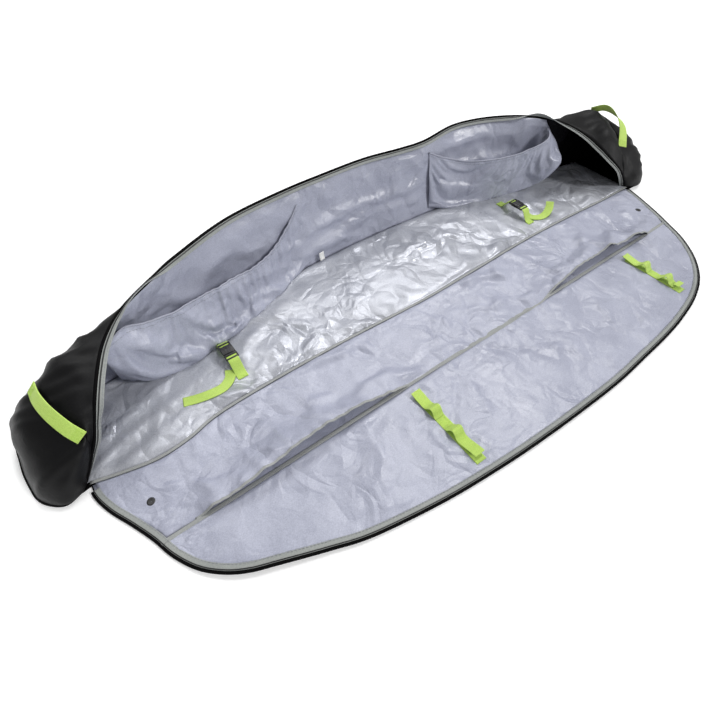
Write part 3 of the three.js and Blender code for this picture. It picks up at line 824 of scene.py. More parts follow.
def wall_lining():
    """The lining's points, folds and all, and the way out of the tray at each."""
    count, steps = WALL_GRID
    rows = np.array([at_shares(rib_at(u), np.linspace(0.012, 0.99, steps))
                     for u in np.linspace(2.6, LAST - 8.7, count)])
    depth = np.linspace(0, 1, steps)[None, :]
    out = normals_of(rows)
    if out[len(out) // 2, 12, 1] < 0:
        out = -out
    rows = rows - out * (3.0 + 6.0 * smooth(depth, 0, 0.1))[..., None]
    held = smooth(depth, 0, 0.2) * smooth(1 - depth, 0, 0.15)
    upright = rows[..., [0, 2, 1]]
    waves = (11.0 * folds(upright, 84, 66, 2, 2.0) + 7.0 * folds(upright, 52, 92, 12, 2.0)
             + 9.0 * ridges(rows, 120, 4) + 5.0 * ridges(rows, 64, 6))
    middle = smooth(rows[..., 0], -230, -120) * smooth(-rows[..., 0], -250, -190)
    line = 108 + 0.06 * rows[..., 0] + 12 * rough(rows, 240, 9)
    long_fold = 12 * bump(rows[..., 2], line, 13) + 7 * bump(rows[..., 2], line - 42, 11)
    rows = rows - out * (held * (waves + middle * long_fold + 3))[..., None]
    rows[..., 2] = np.maximum(rows[..., 2], FLOOR_Z + 0.5)
    return rows, out


lining_rows, lining_out = wall_lining()
wall_cloth = grid_piece("back_wall_lining_cloth", lining_rows, lavender)


def edges_held(grid):
    """Held points of a sheet that is sewn along all of its border."""
    held = np.ones(grid, bool)
    held[1:-1, 1:-1] = False
    return held


# Ski straps: where the straps and their loose tails lie on the floor
BUCKLE_Y = 104
BUCKLE_Z = 40
FOOT_Z = FLOOR_Z + 2.0
TAILS = {
    "left": [(-552, 74, 17), (-560, 60, FOOT_Z + 2.6), (-574, 48, FOOT_Z + 2),
             (-592, 42, FOOT_Z + 2), (-620, 43, FOOT_Z + 3), (-650, 50, FOOT_Z + 2),
             (-676, 58, FOOT_Z + 2.6)],
    "right": [(488, 72, 17), (496, 60, FOOT_Z + 4), (508, 51, FOOT_Z + 2.5),
              (522, 45, FOOT_Z + 2.5), (538, 44, FOOT_Z + 4), (554, 47, FOOT_Z + 9),
              (568, 54, FOOT_Z + 17), (577, 63, FOOT_Z + 27)],
}


def pressed_by_straps(points):
    """The height that the floor film may reach under a strap, in millimetres."""
    most = np.full(len(points), 60.0)
    for name, x in SKI_STRAP_X.items():
        for line, height in (
                (even([(x, 30), (x, 78)], 9), FOOT_Z - 1.6),
                (even([(x, 146), (x, 190)], 9), FOOT_Z - 1.6),
                (even(np.array(TAILS[name])[:6, :2], 14), FOOT_Z - 0.4)):
            away = np.min(np.hypot(points[:, None, 0] - line[None, :, 0],
                                   points[:, None, 1] - line[None, :, 1]), axis=1)
            most = np.minimum(most, height + 0.55 * np.maximum(away - 15, 0))
    return most


# Silver floor: a film over thin foam, full of folds, that ends at the front seam
SEAM_LINE = [(-905, -6), (-837, -24), (-769, -36), (-701, -30), (-627, -12), (-500, -5),
             (-300, -4), (-100, -10), (0, -12), (150, -8), (400, 0), (600, -3), (760, -10),
             (905, -12)]


def seam_y(x):
    """The front seam's place at x."""
    return curve_at(SEAM_LINE, x)


FILM_GRID = (240, 44)
FILM_END = 903


def silver_rows():
    count, steps = FILM_GRID
    xs = np.linspace(-FILM_END, FILM_END, count)
    share = np.linspace(0, 1, steps)[None, :]
    ys = np.linspace(seam_y(xs) + 2, floor_back(xs) - 8, steps, axis=1)
    rows = np.stack(np.broadcast_arrays(xs[:, None], ys, FLOOR_Z), -1)
    held = smooth(share, 0, 0.06) * smooth(1 - share, 0, 0.06)
    held = held * smooth(FILM_END - np.abs(rows[..., 0]), 0, 30)
    flat = rows * (1, 1, 0)
    size = (9.0 * folds(flat, 118, 82, 1, 2.6) + 7.0 * folds(flat, 74, 60, 3, 2.4)
            + 9.0 * ridges(flat, 110, 11) + 6.0 * ridges(flat, 62, 5))
    left = smooth(-flat[..., 0], 520, 680)
    size += 12.0 * left * folds(flat, 112, 54, 31, 2.6)
    rows[..., 2] += held * size
    return rows


silver_floor = grid_piece("silver_floor_film", silver_rows(), silver)


# Lid: its outline from the left end of the front seam round to the right end
LID_OUTLINE = [
    (-905, -3), (-903, -42), (-888, -88), (-862, -140), (-840, -188), (-822, -236), (-794, -284),
    (-758, -320), (-720, -344), (-676, -362), (-588, -396), (-505, -424), (-355, -453),
    (-223, -469), (-110, -478), (25, -484), (160, -486), (281, -480), (380, -474), (468, -464),
    (568, -444), (656, -410), (731, -356), (790, -286), (828, -214), (858, -150), (884, -84),
    (902, -30), (906, -3),
]
lid_edge = even(catmull(LID_OUTLINE, 10), 520)
split = [i for i in range(1, len(lid_edge)) if (lid_edge[i - 1, 1] - MID_Y)
         * (lid_edge[i, 1] - MID_Y) <= 0]
LEFT_SPLIT, RIGHT_SPLIT = split[0], split[-1]


def inset(line, amount):
    """A plan line moved inwards by amount, away from the lid's outside."""
    ahead = frames_along(line)
    inward = np.stack([-ahead[:, 1], ahead[:, 0]], -1)
    return line + inward * amount


def on_lid(line, height):
    """A plan line as points at that height over the floor, on the lid's curled edge."""
    points = np.concatenate([line, np.zeros((len(line), 1))], 1)
    points[:, 2] = height + lid_curl(points)
    return points


def lid_band(name, span, amount, height, profile, material):
    """A band of any profile along a span of the lid's edge."""
    first, last = span
    path = on_lid(inset(lid_edge, amount)[first:last + 1], height)
    ahead = np.gradient(path, axis=0)
    across = np.stack([-ahead[:, 1], ahead[:, 0], 0 * ahead[:, 0]], -1)
    return swept_piece(name, path, profile, across, material)


SPANS = {
    "front_left": ((6, LEFT_SPLIT), "front_wall", "front_left_tape", "front_left_coil"),
    "top": ((LEFT_SPLIT, RIGHT_SPLIT), "top_panel", "top_zip_tape", "top_zip_coil"),
    "front_right": ((RIGHT_SPLIT, len(lid_edge) - 7), "front_wall", "front_right_tape",
                    "front_right_coil"),
}
for name, (span, body, tape_node, coil_node) in SPANS.items():
    # The padded edge of the lid: shell cloth rolled over the foam
    goes(lid_band(f"{name}_edge_roll", span, 3.4, 4.4, round_profile(6.6, 7.4, 10), black_cloth),
         body, "shell_black")
    goes(lid_band(f"{name}_zip_tape_cloth", span, 12.0, LID_Z + 3.4,
                  ribbon_profile(TAPE_WIDTH, TAPE_THICKNESS), tape_cloth),
         body, "zip_tape", tape_node)
    path = on_lid(inset(lid_edge, 7.4)[span[0]:span[1] + 1], LID_Z + 4.4)
    goes(swept_piece(f"{name}_zip_teeth", path, round_profile(2.8, 2.2), (0, 0, 1), coil_plastic),
         body, "zip_coil", coil_node)
    path = on_lid(inset(lid_edge, 16.4)[span[0]:span[1] + 1], LID_Z + 4.5)
    goes(stitch_line(f"{name}_tape_stitches", path, (0, 0, 1), grey_thread), body, "zip_tape")


# Lid panels. A rib of the top panel runs from the mid seam to the outline.
def top_rows(amount, count, steps, height):
    line = even(inset(lid_edge, amount)[LEFT_SPLIT:RIGHT_SPLIT + 1], count)
    rows = []
    for x, y in line:
        ys = np.linspace(MID_Y, min(y, MID_Y - 0.5), steps)
        rows.append(np.stack([np.full(steps, x), ys, np.full(steps, height)], -1))
    rows = np.array(rows)
    rows[..., 2] += lid_curl(rows)
    return rows


def edge_x(side, y, amount):
    """The lid's side edge, left or right, at depth y."""
    line = inset(lid_edge, amount)
    part = line[:LEFT_SPLIT + 8] if side < 0 else line[RIGHT_SPLIT - 8:][::-1]
    return np.interp(-y, -part[:, 1], part[:, 0])


def front_rows(amount, count, steps, height, low_share=0.0, bow=1.0):
    """Rows of the front wall, from the floor seam, with its bow or straight, to the mid seam."""
    rows = []
    for share in np.linspace(low_share, 1.0, steps):
        depth = share * MID_Y
        xs = np.linspace(edge_x(-1, depth, amount), edge_x(1, depth, amount), count)
        start = seam_y(xs) * bow
        ys = start + (MID_Y - start) * share
        rows.append(np.stack([xs, ys, np.full(count, height)], -1))
    rows = np.array(rows).transpose(1, 0, 2)
    rows[..., 2] += lid_curl(rows)
    return rows


goes(thicken(grid_piece("top_panel_cloth", top_rows(5, 160, 16, 3.2), black_cloth), 2.2),
     "top_panel", "shell_black", "top_panel_shell")
shell_rows = front_rows(5, 160, 12, 3.2, 0.02, 0)
goes(thicken(grid_piece("front_wall_cloth", shell_rows, black_cloth), 2.2),
     "front_wall", "shell_black", "front_wall_shell")
goes(thicken(grid_piece("front_wall_lining_cloth", front_rows(8, 160, 16, LID_Z + 0.6, 0.03),
                        lavender), 1.0), "front_wall", "lining", "front_wall_lining")

# Top panel's lining, loose and full of broad folds that the pole straps press flat
TOP_GRID = (250, 42)
top_cloth_rows = top_rows(14, *TOP_GRID, LID_Z + 1.6)
share = np.linspace(0, 1, TOP_GRID[1])[None, :]
line_ends = np.linspace(0, 1, TOP_GRID[0])[:, None]
room = smooth(share, 0, 0.08) * smooth(1 - share, 0, 0.12) * smooth(line_ends, 0, 0.02)
room = room * smooth(1 - line_ends, 0, 0.02)
flat = top_cloth_rows * (1, 1, 0)
top_size = (8.0 * folds(flat, 50, 120, 2, 2.0) + 10.0 * ridges(flat, 160, 6)
            + 5.0 * ridges(flat, 90, 14) + 1.2 * ridges(flat, 48, 19))
for x in POLE_STRAP_X.values():
    under = 1 - smooth(np.abs(flat[..., 0] - x), 16, 40)
    top_size = top_size * (1 - 0.9 * under)
top_cloth_rows[..., 2] += room * top_size
top_cloth = grid_piece("top_panel_lining_cloth", top_cloth_rows, lavender)

# Front pocket: a panel over the whole front wall that bulges along its front edge in two mouths
POCKET_GRID = (250, 32)
MOUTHS = [(-748, -240, 30), (262, 724, 24)]
POCKET_EDGE = [(-870, -196), (-760, -198), (-668, -205), (-600, -202), (-525, -196), (-450, -192),
               (-360, -192), (-259, -200), (0, -206), (200, -208), (275, -196), (390, -186),
               (500, -186), (610, -194), (722, -204), (870, -196)]
EYELETS = [(-815, -115), (815, -115)]


def pocket_lift(x):
    """How far the mouths stand off the lid at x."""
    total = np.zeros_like(x)
    for start, end, top in MOUTHS:
        share = np.clip((x - start) / (end - start), 0, 1)
        total += top * np.sin(math.pi * share) ** 0.7
    return total


def front_pocket_rows():
    rows = front_rows(14, *POCKET_GRID, LID_Z + 1.8)
    share = np.linspace(0, 1, POCKET_GRID[1])[None, :]
    edge = curve_at(POCKET_EDGE, rows[:, -1, 0])[:, None]
    start = rows[:, :1, 1] - 3
    rows[..., 1] = start + (edge - start) * share
    x = rows[..., 0]
    lift = pocket_lift(x) * np.sin(math.pi * np.clip(share * 0.56, 0, 1)) ** 1.5
    sides = smooth(np.minimum(x - x[:1], x[-1:] - x), 12, 60)
    tacked = smooth(pocket_lift(x), 0, 10)
    held = smooth(share, 0, 0.12) * sides * (1 - smooth(share, 0.86, 1) * (1 - tacked))
    for ex, ey in EYELETS:
        held = held * smooth(np.hypot(x - ex, rows[..., 1] - ey), 12, 50)
    flat = rows * (1, 1, 0)
    size = (12.0 * folds(flat, 62, 110, 4, 1.8) + 10.0 * folds(flat, 118, 84, 1, 2.0)
            + 14.0 * ridges(flat, 140, 7) + 7.0 * ridges(flat, 84, 2) + 1.2 * ridges(flat, 44, 9))
    gathers = 1.7 * np.sin(2 * math.pi * (x / 31 + 0.4 * rough(flat, 80, 21))) \
        * smooth(share, 0.55, 0.97) * smooth(pocket_lift(x), 0, 14)
    rows[..., 2] += lift + held * size + gathers
    return rows


pocket_rows = front_pocket_rows()
pocket_cloth = grid_piece("front_pocket_cloth", pocket_rows, lavender)


# Stuff pockets: full bellies of cloth gathered on an elastic edge
STUFF_GRID = (130, 44)


def wall_inside(x, z):
    """The back wall's lining at x and z."""
    foot = floor_back(x)
    top = curve_at([(t[0], t[1]) for t in [(-806, 56), (-709, 186), (-665, 206), (-600, 238)]
                    + [p[:2] for p in WALL_TOP] + [(605, 259), (702, 198)]], x)
    return foot + (top - foot) * np.clip(z, 0, 220) / 220 - 8


def stuff_pocket(pocket):
    """A column of the pocket goes out from the wall's foot, over its belly and up to its edge."""
    count, steps = STUFF_GRID
    a = np.linspace(0, 1, count)[:, None]
    u = np.linspace(0, 1, steps)[None, :]
    xs = pocket["from"] + (pocket["to"] - pocket["from"]) * a[:, 0]
    belly, edge_out, edge_z, foot_z = (curve_at(pocket[key], xs) for key in
                                       ("belly", "edge_out", "edge_z", "foot_z"))
    depths, heights = [], []
    for out, rim_out_by, top, foot in zip(belly, edge_out, edge_z, foot_z):
        column = [(1, foot)]
        for share_out, share_up in pocket["section"]:
            column.append((out * share_out, foot + (top - foot) * share_up))
        column += [(0.45 * out + 0.55 * rim_out_by, foot + (top - foot) * 0.72),
                   (rim_out_by, top)]
        path = even(catmull(column, 10), steps)
        depths.append(path[:, 0])
        heights.append(path[:, 1])
    depth, z = np.array(depths), np.array(heights)
    x = xs[:, None] + pocket["spread"] * np.sin(math.pi * u) * np.maximum(2 * a - 1, 0) ** 4
    y = wall_inside(x, z) - 2 - depth
    rows = np.stack([x, y, z], -1)
    ends = smooth(a, 0, 0.08) * smooth(1 - a, 0, 0.08)
    swell = smooth(u, 0.06, 0.25) * ends
    pleats = np.sin(2 * math.pi * (a * pocket["pleats"] + 0.35 * rough(rows, 90, 3)))
    near_edge = smooth(u, 0.3, 0.95) * ends
    upright = rows[..., [0, 2, 1]]
    slack = pocket["slack"] * (folds(upright, 35, 96, 2, 2.2) + 0.7 * folds(upright, 64, 70, 5, 2.0)
                               + 0.45 * folds(upright, 5, 52, 15, 2.4)) * swell
    slack = slack * (1 - 0.8 * smooth(u, 0.7, 1))
    slack += 0.6 * pocket["slack"] * ridges(rows, 90, 23) * swell * (1 - smooth(u, 0.75, 1))
    gather = pocket["gather"] * (0.25 + 0.75 * smooth(xs[:, None], *pocket["pleated"]))
    gather = gather * (1 - 0.6 * smooth(u, 0.86, 1)) * (0.5 + 0.5 * smooth(u, 0.3, 0.8))
    size = gather * pleats * near_edge + slack + 2.0 * rough(rows, 34, 8) * swell
    rows[..., 1] -= size * 0.8
    rows[..., 2] += size * 0.35 * (1 - near_edge)
    rows[..., 2] = np.maximum(rows[..., 2], FLOOR_Z + 0.6)
    return rows


STUFF_POCKETS = {
    "left": {"from": -764, "to": -196, "pleats": 26, "gather": 3.6, "slack": 20, "spread": 0,
             "pleated": (-620, -420),
             "section": [(0.75, 0.02), (1.0, 0.18), (0.9, 0.42)],
             "belly": [(-764, 18), (-730, 52), (-686, 80), (-620, 92), (-557, 96), (-480, 90),
                       (-400, 72), (-330, 50), (-270, 26), (-225, 10), (-196, 2)],
             "edge_out": [(-764, 3), (-726, 6), (-690, 18), (-640, 32), (-560, 42), (-500, 44),
                          (-440, 48), (-390, 46), (-335, 32), (-290, 19), (-248, 9), (-196, 1)],
             "edge_z": [(-764, 172), (-726, 176), (-690, 164), (-640, 149), (-560, 133),
                        (-500, 127), (-440, 123), (-390, 117), (-335, 113), (-290, 122),
                        (-248, 142), (-215, 166), (-196, 184)],
             "foot_z": [(-764, FLOOR_Z + 1), (-300, FLOOR_Z + 1), (-240, FLOOR_Z + 4),
                        (-196, FLOOR_Z + 10)]},
    "right": {"from": 252, "to": 668, "pleats": 13, "gather": 0.8, "slack": 3, "spread": 46,
              "pleated": (200, 260),
              "section": [(0.5, 0.09), (0.86, 0.3), (1.0, 0.52)],
              "belly": [(252, 4), (266, 30), (300, 54), (385, 74), (460, 90), (530, 98),
                        (600, 104), (640, 98), (658, 78), (668, 34)],
              "edge_out": [(252, 2), (305, 18), (385, 44), (460, 68), (530, 80), (600, 72),
                           (640, 50), (658, 28), (668, 6)],
              "edge_z": [(252, 192), (305, 167), (385, 142), (460, 140), (530, 147), (600, 165),
                         (640, 177), (668, 187)],
              "foot_z": [(252, 24), (300, 12), (400, FLOOR_Z + 1), (540, FLOOR_Z + 1), (620, 14),
                         (668, 34)]},
}
stuff_cloths = {side: grid_piece(f"{side}_stuff_pocket_cloth", stuff_pocket(pocket), lavender)
                for side, pocket in STUFF_POCKETS.items()}

# Let the loose sheets settle. The front pocket is also held beside its binding and at its eyelets.
pocket_held = edges_held(POCKET_GRID)
pocket_held[:, -2] = True
for ex, ey in EYELETS:
    pocket_held |= np.hypot(pocket_rows[..., 0] - ex, pocket_rows[..., 1] - ey) < 22
settle([
    (silver_floor, edges_held(FILM_GRID), 0.035, 0.5, FLOOR_Z, 0),
    (top_cloth, edges_held(TOP_GRID), 0.008, 0.8, LID_Z + 1.2, 0),
    (pocket_cloth, pocket_held, 0.02, 0.6, LID_Z + 1.6, 0),
    (stuff_cloths["left"], edges_held(STUFF_GRID), 0.03, 0.8, FLOOR_Z + 0.5, 0),
    (stuff_cloths["right"], edges_held(STUFF_GRID), 0.012, 1.2, FLOOR_Z + 0.5, 1.5),
    (wall_cloth, edges_held(WALL_GRID), 0.02, 0.8, FLOOR_Z + 0.5, 0),
])


def soften(piece, grid, times):
    """Evens out a grid piece's finest wrinkles; its border stays."""
    rows = coordinates(piece.data).reshape(*grid, 3)
    for _ in range(times):
        mean = (rows[:-2, 1:-1] + rows[2:, 1:-1] + rows[1:-1, :-2] + rows[1:-1, 2:]) / 4
        rows[1:-1, 1:-1] = 0.4 * rows[1:-1, 1:-1] + 0.6 * mean
    set_points(piece, rows)


def press_film(piece):
    """Keeps the floor film under the straps that are sewn on it."""
    co = in_millimetres(piece)
    co[:, 2] = np.maximum(np.minimum(co[:, 2], pressed_by_straps(co)), FLOOR_Z * 0.8)
    set_points(piece, to_row(co))


def keep_before_wall(piece, start_rows, out, most=2.0):
    """Keeps a lining from going back into the wall that it lines by more than most."""
    co = in_millimetres(piece)
    n = out.reshape(-1, 3)
    past = ((co - start_rows.reshape(-1, 3)) * n).sum(1)
    set_points(piece, to_row(co - n * np.maximum(past - most, 0)[:, None]))


soften(silver_floor, FILM_GRID, 7)
soften(top_cloth, TOP_GRID, 2)
soften(pocket_cloth, POCKET_GRID, 2)
press_film(silver_floor)
keep_before_wall(wall_cloth, lining_rows, lining_out)


def grid_line(piece, grid, column):
    """One line of a grid piece's points, in millimetres."""
    return in_millimetres(piece).reshape(*grid, 3)[:, column]


# Fold seams: binding over the joint between two linings, and black cloth under it
def seam_binding(name, xs, ys, height, width, bodies, line_y, cad_name):
    path = np.stack([xs, ys, height + 0 * xs], -1)
    piece = swept_piece(name, path, ribbon_profile(width, 2.0), (0, 1, 0), binding_cloth)
    return bends(piece, bodies, line_y, 30, "zip_tape", cad_name)


seam_xs = np.linspace(-898, 900, 260)
seam_binding("front_seam_binding", seam_xs, seam_y(seam_xs) - 0.5,
             LID_Z + 2.6 + (FLOOR_Z - LID_Z) * 0.5, 7, ("tray", "front_wall"), 0,
             "floor_binding")
mid_xs = np.linspace(-829, 829, 240)
seam_binding("mid_seam_binding_cloth", mid_xs, MID_Y + 3 + 2 * bump(mid_xs, 0, 500), LID_Z + 2.2,
             9, ("front_wall", "top_panel"), MID_Y, "mid_seam_binding")


def fold_skin(name, half, y, bodies):
    """Shell cloth under a fold line, from -half to half along it."""
    xs = np.linspace(-half, half, 90)
    ys = np.linspace(y + 26, y - 26, 12)
    rows = np.array([[(x, yy, 0.9) for yy in ys] for x in xs])
    piece = grid_piece(name, rows, black_cloth)
    thicken(piece, 0.8)
    return bends(piece, bodies, y, 24, "shell_black")


fold_skin("front_fold_cloth", 890, 0, ("tray", "front_wall"))
fold_skin("mid_fold_cloth", 812, MID_Y, ("front_wall", "top_panel"))

bends(thicken(silver_floor, 0.5), ("tray", "front_wall"), 0, 20, "silver_film", "silver_floor",
      "floor_foam")
goes(thicken(wall_cloth, 0.8, 0), "tray", "lining", "back_wall_lining", "back_wall_foam")
goes(thicken(top_cloth, 0.7, 0), "top_panel", "lining", "top_panel_lining")
goes(thicken(pocket_cloth, 0.7, 0), "front_wall", "lining", "front_pocket")
pocket_line = grid_line(pocket_cloth, POCKET_GRID, -1)
mouth_xs = (pocket_line[:, 0] > -760) & (pocket_line[:, 0] < 735)
edge_binding = swept_piece("front_pocket_binding", pocket_line[mouth_xs] + (0, 0, 0.4),
                           ribbon_profile(5.5, 1.8), (0, 1, 0.2), binding_cloth)
goes(edge_binding, "front_wall", "zip_tape", "front_pocket_edge")
for side, cloth in stuff_cloths.items():
    goes(thicken(cloth, 0.9, 0), "tray", "lining", f"{side}_stuff_pocket")
    line = grid_line(cloth, STUFF_GRID, -1)
    elastic = swept_piece(f"{side}_elastic_edge", line, round_profile(4.4, 5.2), (0, 1, 0), hem)
    goes(elastic, "tray", "lining", f"{side}_pocket_elastic")
    seam = grid_line(cloth, STUFF_GRID, -3)
    goes(stitch_line(f"{side}_hem_stitches", seam + (0, -0.9, 0.3), (0, -1, 0.3), grey_thread),
         "tray", "lining")

# Label sewn into the foot of the back wall
label_at = np.array([-160.0, wall_inside(np.array([-160.0]), 36)[0] - 14, 42.0])
label_rows = []
for across in np.linspace(-8, 8, 7):
    label_rows.append([label_at + (across, -2 - 5 * t * t + 0.8 * math.sin(across / 3), -24 * t)
                       for t in np.linspace(0, 1, 9)])
goes(thicken(grid_piece("blank_label", np.array(label_rows), label_cloth), 0.5, 0),
     "tray", "label", "care_label")


# Pole straps on the top panel: a sewn base and two flaps that close over the poles
POLE_MID = -323
STRAP_Z = LID_Z + 3.6


def pole_flap(sign, length, wave):
    """The (y, z) line of a flap that arches up from its base and lies back on it."""
    start = POLE_MID + sign * 15
    base = STRAP_Z + 2.4
    arch = [(0, 0), (6, 5), (11, 13), (18, 18), (25, 13), (31, 5), (39, 1.4), (50, 2.2),
            (length - 14, 2.6 + wave), (length, 5 + wave)]
    return [(start + sign * dy, base + dz) for dy, dz in arch]


def box_stitch(name, centre, size, body, up=(0, 0, 1), along=(0, 1, 0)):
    """A sewn box with a cross, as straps are tacked down."""
    w, l = size
    up, along = unit(up), unit(along)
    side = np.cross(along, up)
    corner = [centre + side * a * w + along * b * l for a, b in
              ((-0.5, -0.5), (0.5, -0.5), (0.5, 0.5), (-0.5, 0.5))]
    order = [0, 1, 2, 3, 0, 2, 3, 1]
    path = np.array([corner[i] for i in order])
    piece = stitch_line(name, path, up, lime_thread, pitch=3.4, length=2.6, radius=0.4)
    return goes(piece, body, "webbing")


for name, back, front in (("left", 84, 112), ("right", 84, 84)):
    x = POLE_STRAP_X[name]
    base = [(x, POLE_MID + back, STRAP_Z), (x + 1, POLE_MID, STRAP_Z + 0.4),
            (x, POLE_MID - front, STRAP_Z)]
    goes(webbing(f"{name}_pole_base", base), "top_panel", "webbing", f"{name}_pole_strap")
    for part, sign, length, wave in (("back", 1, back - 4, 2), ("front", -1, front - 26, 6)):
        drift = 3 if part == "front" else -2
        flap = pole_flap(sign, length, wave)
        path = [(x + drift * i / 9, y, z) for i, (y, z) in enumerate(flap)]
        goes(webbing(f"{name}_pole_loop_{part}", path), f"{name}_flap_{part}", "webbing",
             f"{name}_pole_flap_{part}")
    box_stitch(f"{name}_pole_stitches", np.array([x, POLE_MID, STRAP_Z + 1.3]), (20, 18),
               "top_panel")


# Ski straps: each half rises from the floor to a side-release buckle
def buckle_male():
    """The half with two prongs and a tongue, as (points, faces)."""
    parts = [
        box_part((-16, -22, -2.6), (16, -17.6, 2.6), 1.6),
        box_part((-16, -11.2, -3), (16, -5.4, 3), 1.6),
        box_part((-16, -21, -2.6), (-12.8, -7, 2.6), 1.2),
        box_part((12.8, -21, -2.6), (16, -7, 2.6), 1.2),
        box_part((-2.4, -6, -1.3), (2.4, 12, 1.3), 0.9),
    ]
    for side in (-1, 1):
        parts.append(box_part((side * 9 - 2.4, -6.5, -1.6), (side * 9 + 2.4, 10, 1.6), 0.9))
        parts.append(box_part((side * 11 - 3, 7, -1.8), (side * 11 + 3, 14, 1.8), 1.2))
    return joined(parts)


def buckle_female():
    """The hollow half with three ribs on its top, as (points, faces)."""
    parts = [
        box_part((-15, -5, 2.3), (15, 19, 4.6), 1.4),
        box_part((-15, -5, -4.6), (15, 19, -2.3), 1.4),
        box_part((-15, 15.5, -4.4), (15, 20, 4.4), 1.5),
        box_part((-15, -5, -4.4), (-11.8, 3, 4.4), 1.2),
        box_part((11.8, -5, -4.4), (15, 3, 4.4), 1.2),
        box_part((-15, 26.2, -3.4), (15, 30.5, 3.4), 1.5),
        box_part((-15, 18, -3.6), (-11.8, 29, 3.6), 1.2),
        box_part((11.8, 18, -3.6), (15, 29, 3.6), 1.2),
    ]
    for x in (-6, 0, 6):
        parts.append(box_part((x - 0.8, -2, 4.2), (x + 0.8, 12, 5.3), 0.4))
    return joined(parts)


for name, x in SKI_STRAP_X.items():
    for half, shape, body in (("male", buckle_male(), "tray"),
                              ("female", buckle_female(), f"{name}_strap_half")):
        points = shape[0] + (x, BUCKLE_Y, BUCKLE_Z)
        goes(new_piece(f"{name}_{half}_buckle", points, shape[1], buckle_plastic), body, "buckle",
             f"{name}_buckle_{half}")
    front = [(42, FOOT_Z), (52, FOOT_Z + 1), (60, FOOT_Z + 6), (68, 26), (76, 37), (84, 40.4),
             (BUCKLE_Y - 12, 40)]
    back = [(BUCKLE_Y + 24, 40), (136, 39.6), (144, 34), (151, 23), (158, 13), (168, FOOT_Z + 1),
            (182, FOOT_Z)]
    goes(webbing(f"{name}_ski_strap_front", [(x, y, z) for y, z in front]), "tray", "webbing",
         f"{name}_strap_front")
    goes(webbing(f"{name}_ski_strap_back", [(x, y, z) for y, z in back]), f"{name}_strap_half",
         "webbing", f"{name}_strap_back")
    tail = even(catmull(TAILS[name], 8), 60)
    side = np.cross(frames_along(tail), (0, 0, 1))
    goes(swept_piece(f"{name}_ski_strap_tail", tail, ribbon_profile(25, STRAP_THICKNESS), side,
                     lime_webbing), "tray", "webbing", f"{name}_strap_tail")
    box_stitch(f"{name}_strap_stitches", np.array([x, 48, FOOT_Z + 1.6]), (19, 14), "tray")


# Grab handles: webbing sewn to the hood seam at both ends
def handle(name, us, bow, outward, twist, body):
    """Webbing from its front tack to its back one, over five smooth points of the seam."""
    path = []
    for share, u in zip(np.linspace(0, 1, 5), np.linspace(*us, 5)):
        root = tray_point(u, seam_share(u))[0]
        lift = 7.0 + bow * math.sin(math.pi * share) ** 0.8
        path.append(root + np.array(outward) * lift)
    path = even(catmull(path, 12), 90)
    share = smooth(np.linspace(0, 1, 90), 0.1, 0.9)[:, None]
    side = np.array(twist[0]) * (1 - share) + np.array(twist[1]) * share
    piece = swept_piece(name, path, ribbon_profile(28, 2.0), side, lime_webbing)
    middle = (path[0] + path[-1]) / 2
    chord = unit(path[-1] - path[0])
    off_chord = path - middle - ((path - middle) @ chord)[:, None] * chord
    peak = off_chord[np.argmax(np.linalg.norm(off_chord, axis=1))]
    tuple(to_row(middle))
    tuple(to_row(middle + peak))
    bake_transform(piece)
    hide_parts(body)
    ahead = frames_along(path)
    for end, tag in ((6, "first"), (-7, "last")):
        up = unit(np.cross(side[end], ahead[end]))
        up = up if up @ np.array(outward) > 0 else -up
        box_stitch(f"{name}_{tag}_tack", path[end] + up * 1.2, (20, 12), "tray", up=up,
                   along=ahead[end])


handle("left_grab_webbing", (3.5, 7.0), 7, (-0.62, -0.1, 0.78),
       ((0.75, 0.3, 0.6), (0.75, 0.1, 0.65)), "left_handle")
handle("right_grab_webbing", (LAST - 3.6, LAST - 7.0), 29, (0.72, 0.1, 0.68),
       ((0.86, -0.5, -0.1), (0.5, 0.15, -0.85)), "right_handle")

# Hardware that keeps its CAD shape
HARDWARE = {"slider": slider_metal, "puller": slider_metal, "eyelet": buckle_plastic}
for cad_name, finish in [(f"{side}_{kind}", finish) for kind, finish in HARDWARE.items()
                         for side in SIDES]:
    part = frame["nodes"][cad_name]
    if not part.material_slots:
        part.data.materials.append(finish)
    for material_slot in part.material_slots:
        material_slot.link = "OBJECT"
        material_slot.material = finish
    bevel = part.modifiers.new("soft_edges", "BEVEL")
    bevel.width = 0.0004
    bevel.segments = 2
    bevel.limit_method = "ANGLE"


# The eyelets' openings, each filled with a black disc: painted shade for the shadow inside the hole
for side in SIDES:
    low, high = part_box(f"{side}_eyelet")
    centre = np.array([(low.x + high.x) * 500, (low.y + high.y) * 500 - SEAM_Y, high.z * 1000])
    turns = np.linspace(0, 2 * math.pi, 25)[:-1]
    rings = [[centre + (r * math.cos(t), r * math.sin(t), dz) for t in turns]
             for r, dz in ((8.4, -0.6), (8.0, 0.3), (6.0, 0.2), (3.0, 0.0), (0.3, 0.0))]
    # A black disc inside the eyelet ring: painted shade where the opening would show the cloth
    # under it.
    shade_disc = new_piece(f"{side}_eyelet_painted_shade", rings, ring_faces(4, 24), buckle_plastic)
    goes(shade_disc, "front_wall", "buckle")


# Floor, light and camera
def linked(name, data, place=(0, 0, 0), quaternion=None):
    """A new object in the scene."""
    made = bpy.data.objects.new(name, data)
    made.location = place
    if quaternion:
        made.rotation_mode = "QUATERNION"
        made.rotation_quaternion = quaternion
    bpy.context.scene.collection.objects.link(made)
    return made


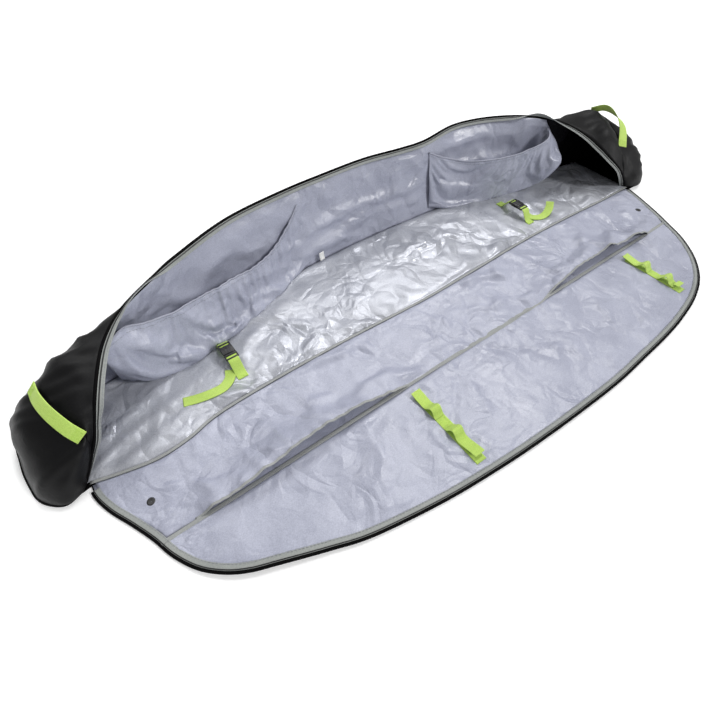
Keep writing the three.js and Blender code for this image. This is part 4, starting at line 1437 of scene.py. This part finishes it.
def lamp(name, kind, place, aim, power):
    """A light at place that shines towards aim."""
    data = bpy.data.lights.new(name, kind)
    data.energy = power
    linked(name, data, place, (Vector(aim) - Vector(place)).to_track_quat("-Z", "Y"))
    return data


def sun(name, place, power):
    lamp(name, "SUN", place, (0, 0, 0), power).angle = math.radians(12)


def soft_light(name, place, aim, size, power):
    data = lamp(name, "AREA", place, aim, power)
    data.shape = "RECTANGLE"
    data.size, data.size_y = size


floor_mesh = bpy.data.meshes.new("studio_floor")
floor_mesh.from_pydata(*square(9, 9, -0.0008))
paper, _, shader = new_material("pale_floor")
shader.inputs["Base Color"].default_value = (0.93, 0.93, 0.93, 1)
shader.inputs["Roughness"].default_value = 0.9
shader.inputs["Emission Color"].default_value = (1, 1, 1, 1)
shader.inputs["Emission Strength"].default_value = 0.22
floor_mesh.materials.append(paper)
linked("studio_floor", floor_mesh)

sun("key", (1.2, 0.6, 2.4), 0.95)
sun("front", (1.2, -1.8, 1.7), 1.5)
soft_light("sheen", (1.3, 2.3, 2.6), (0.1, 0.05, 0), (2.2, 0.8), 28)
soft_light("left_sheen", (-0.9, 1.9, 2.3), (-0.6, 0.05, 0), (1.4, 0.7), 16)
world = bpy.data.worlds.new("studio")
world.use_nodes = True
background = world.node_tree.nodes["Background"]
background.inputs[0].default_value = (1, 1, 1, 1)
seen = node(world.node_tree, "LightPath")
strength = node(world.node_tree, "MapRange", {"Value": seen.outputs["Is Camera Ray"],
                                              "To Min": 0.38, "To Max": 1.0})
world.node_tree.links.new(strength.outputs[0], background.inputs[1])
bpy.context.scene.world = world
bpy.context.scene.view_settings.view_transform = "Standard"

camera_data = bpy.data.cameras.new("camera")
camera_data.lens = 22.21
camera_data.sensor_width = 36
camera_data.clip_start = 0.02
right, up, ahead = (0.8053, -0.5929, 0), (0.4677, 0.6353, 0.6145), (0.3643, 0.4949, -0.7889)
turn = Matrix((right, up, tuple(-c for c in ahead))).transposed()
bpy.context.scene.camera = linked("camera", camera_data, (-0.675, -0.603 + SEAM_Y / 1000, 0.850),
                                  turn.to_quaternion())

bpy.context.view_layer.update()
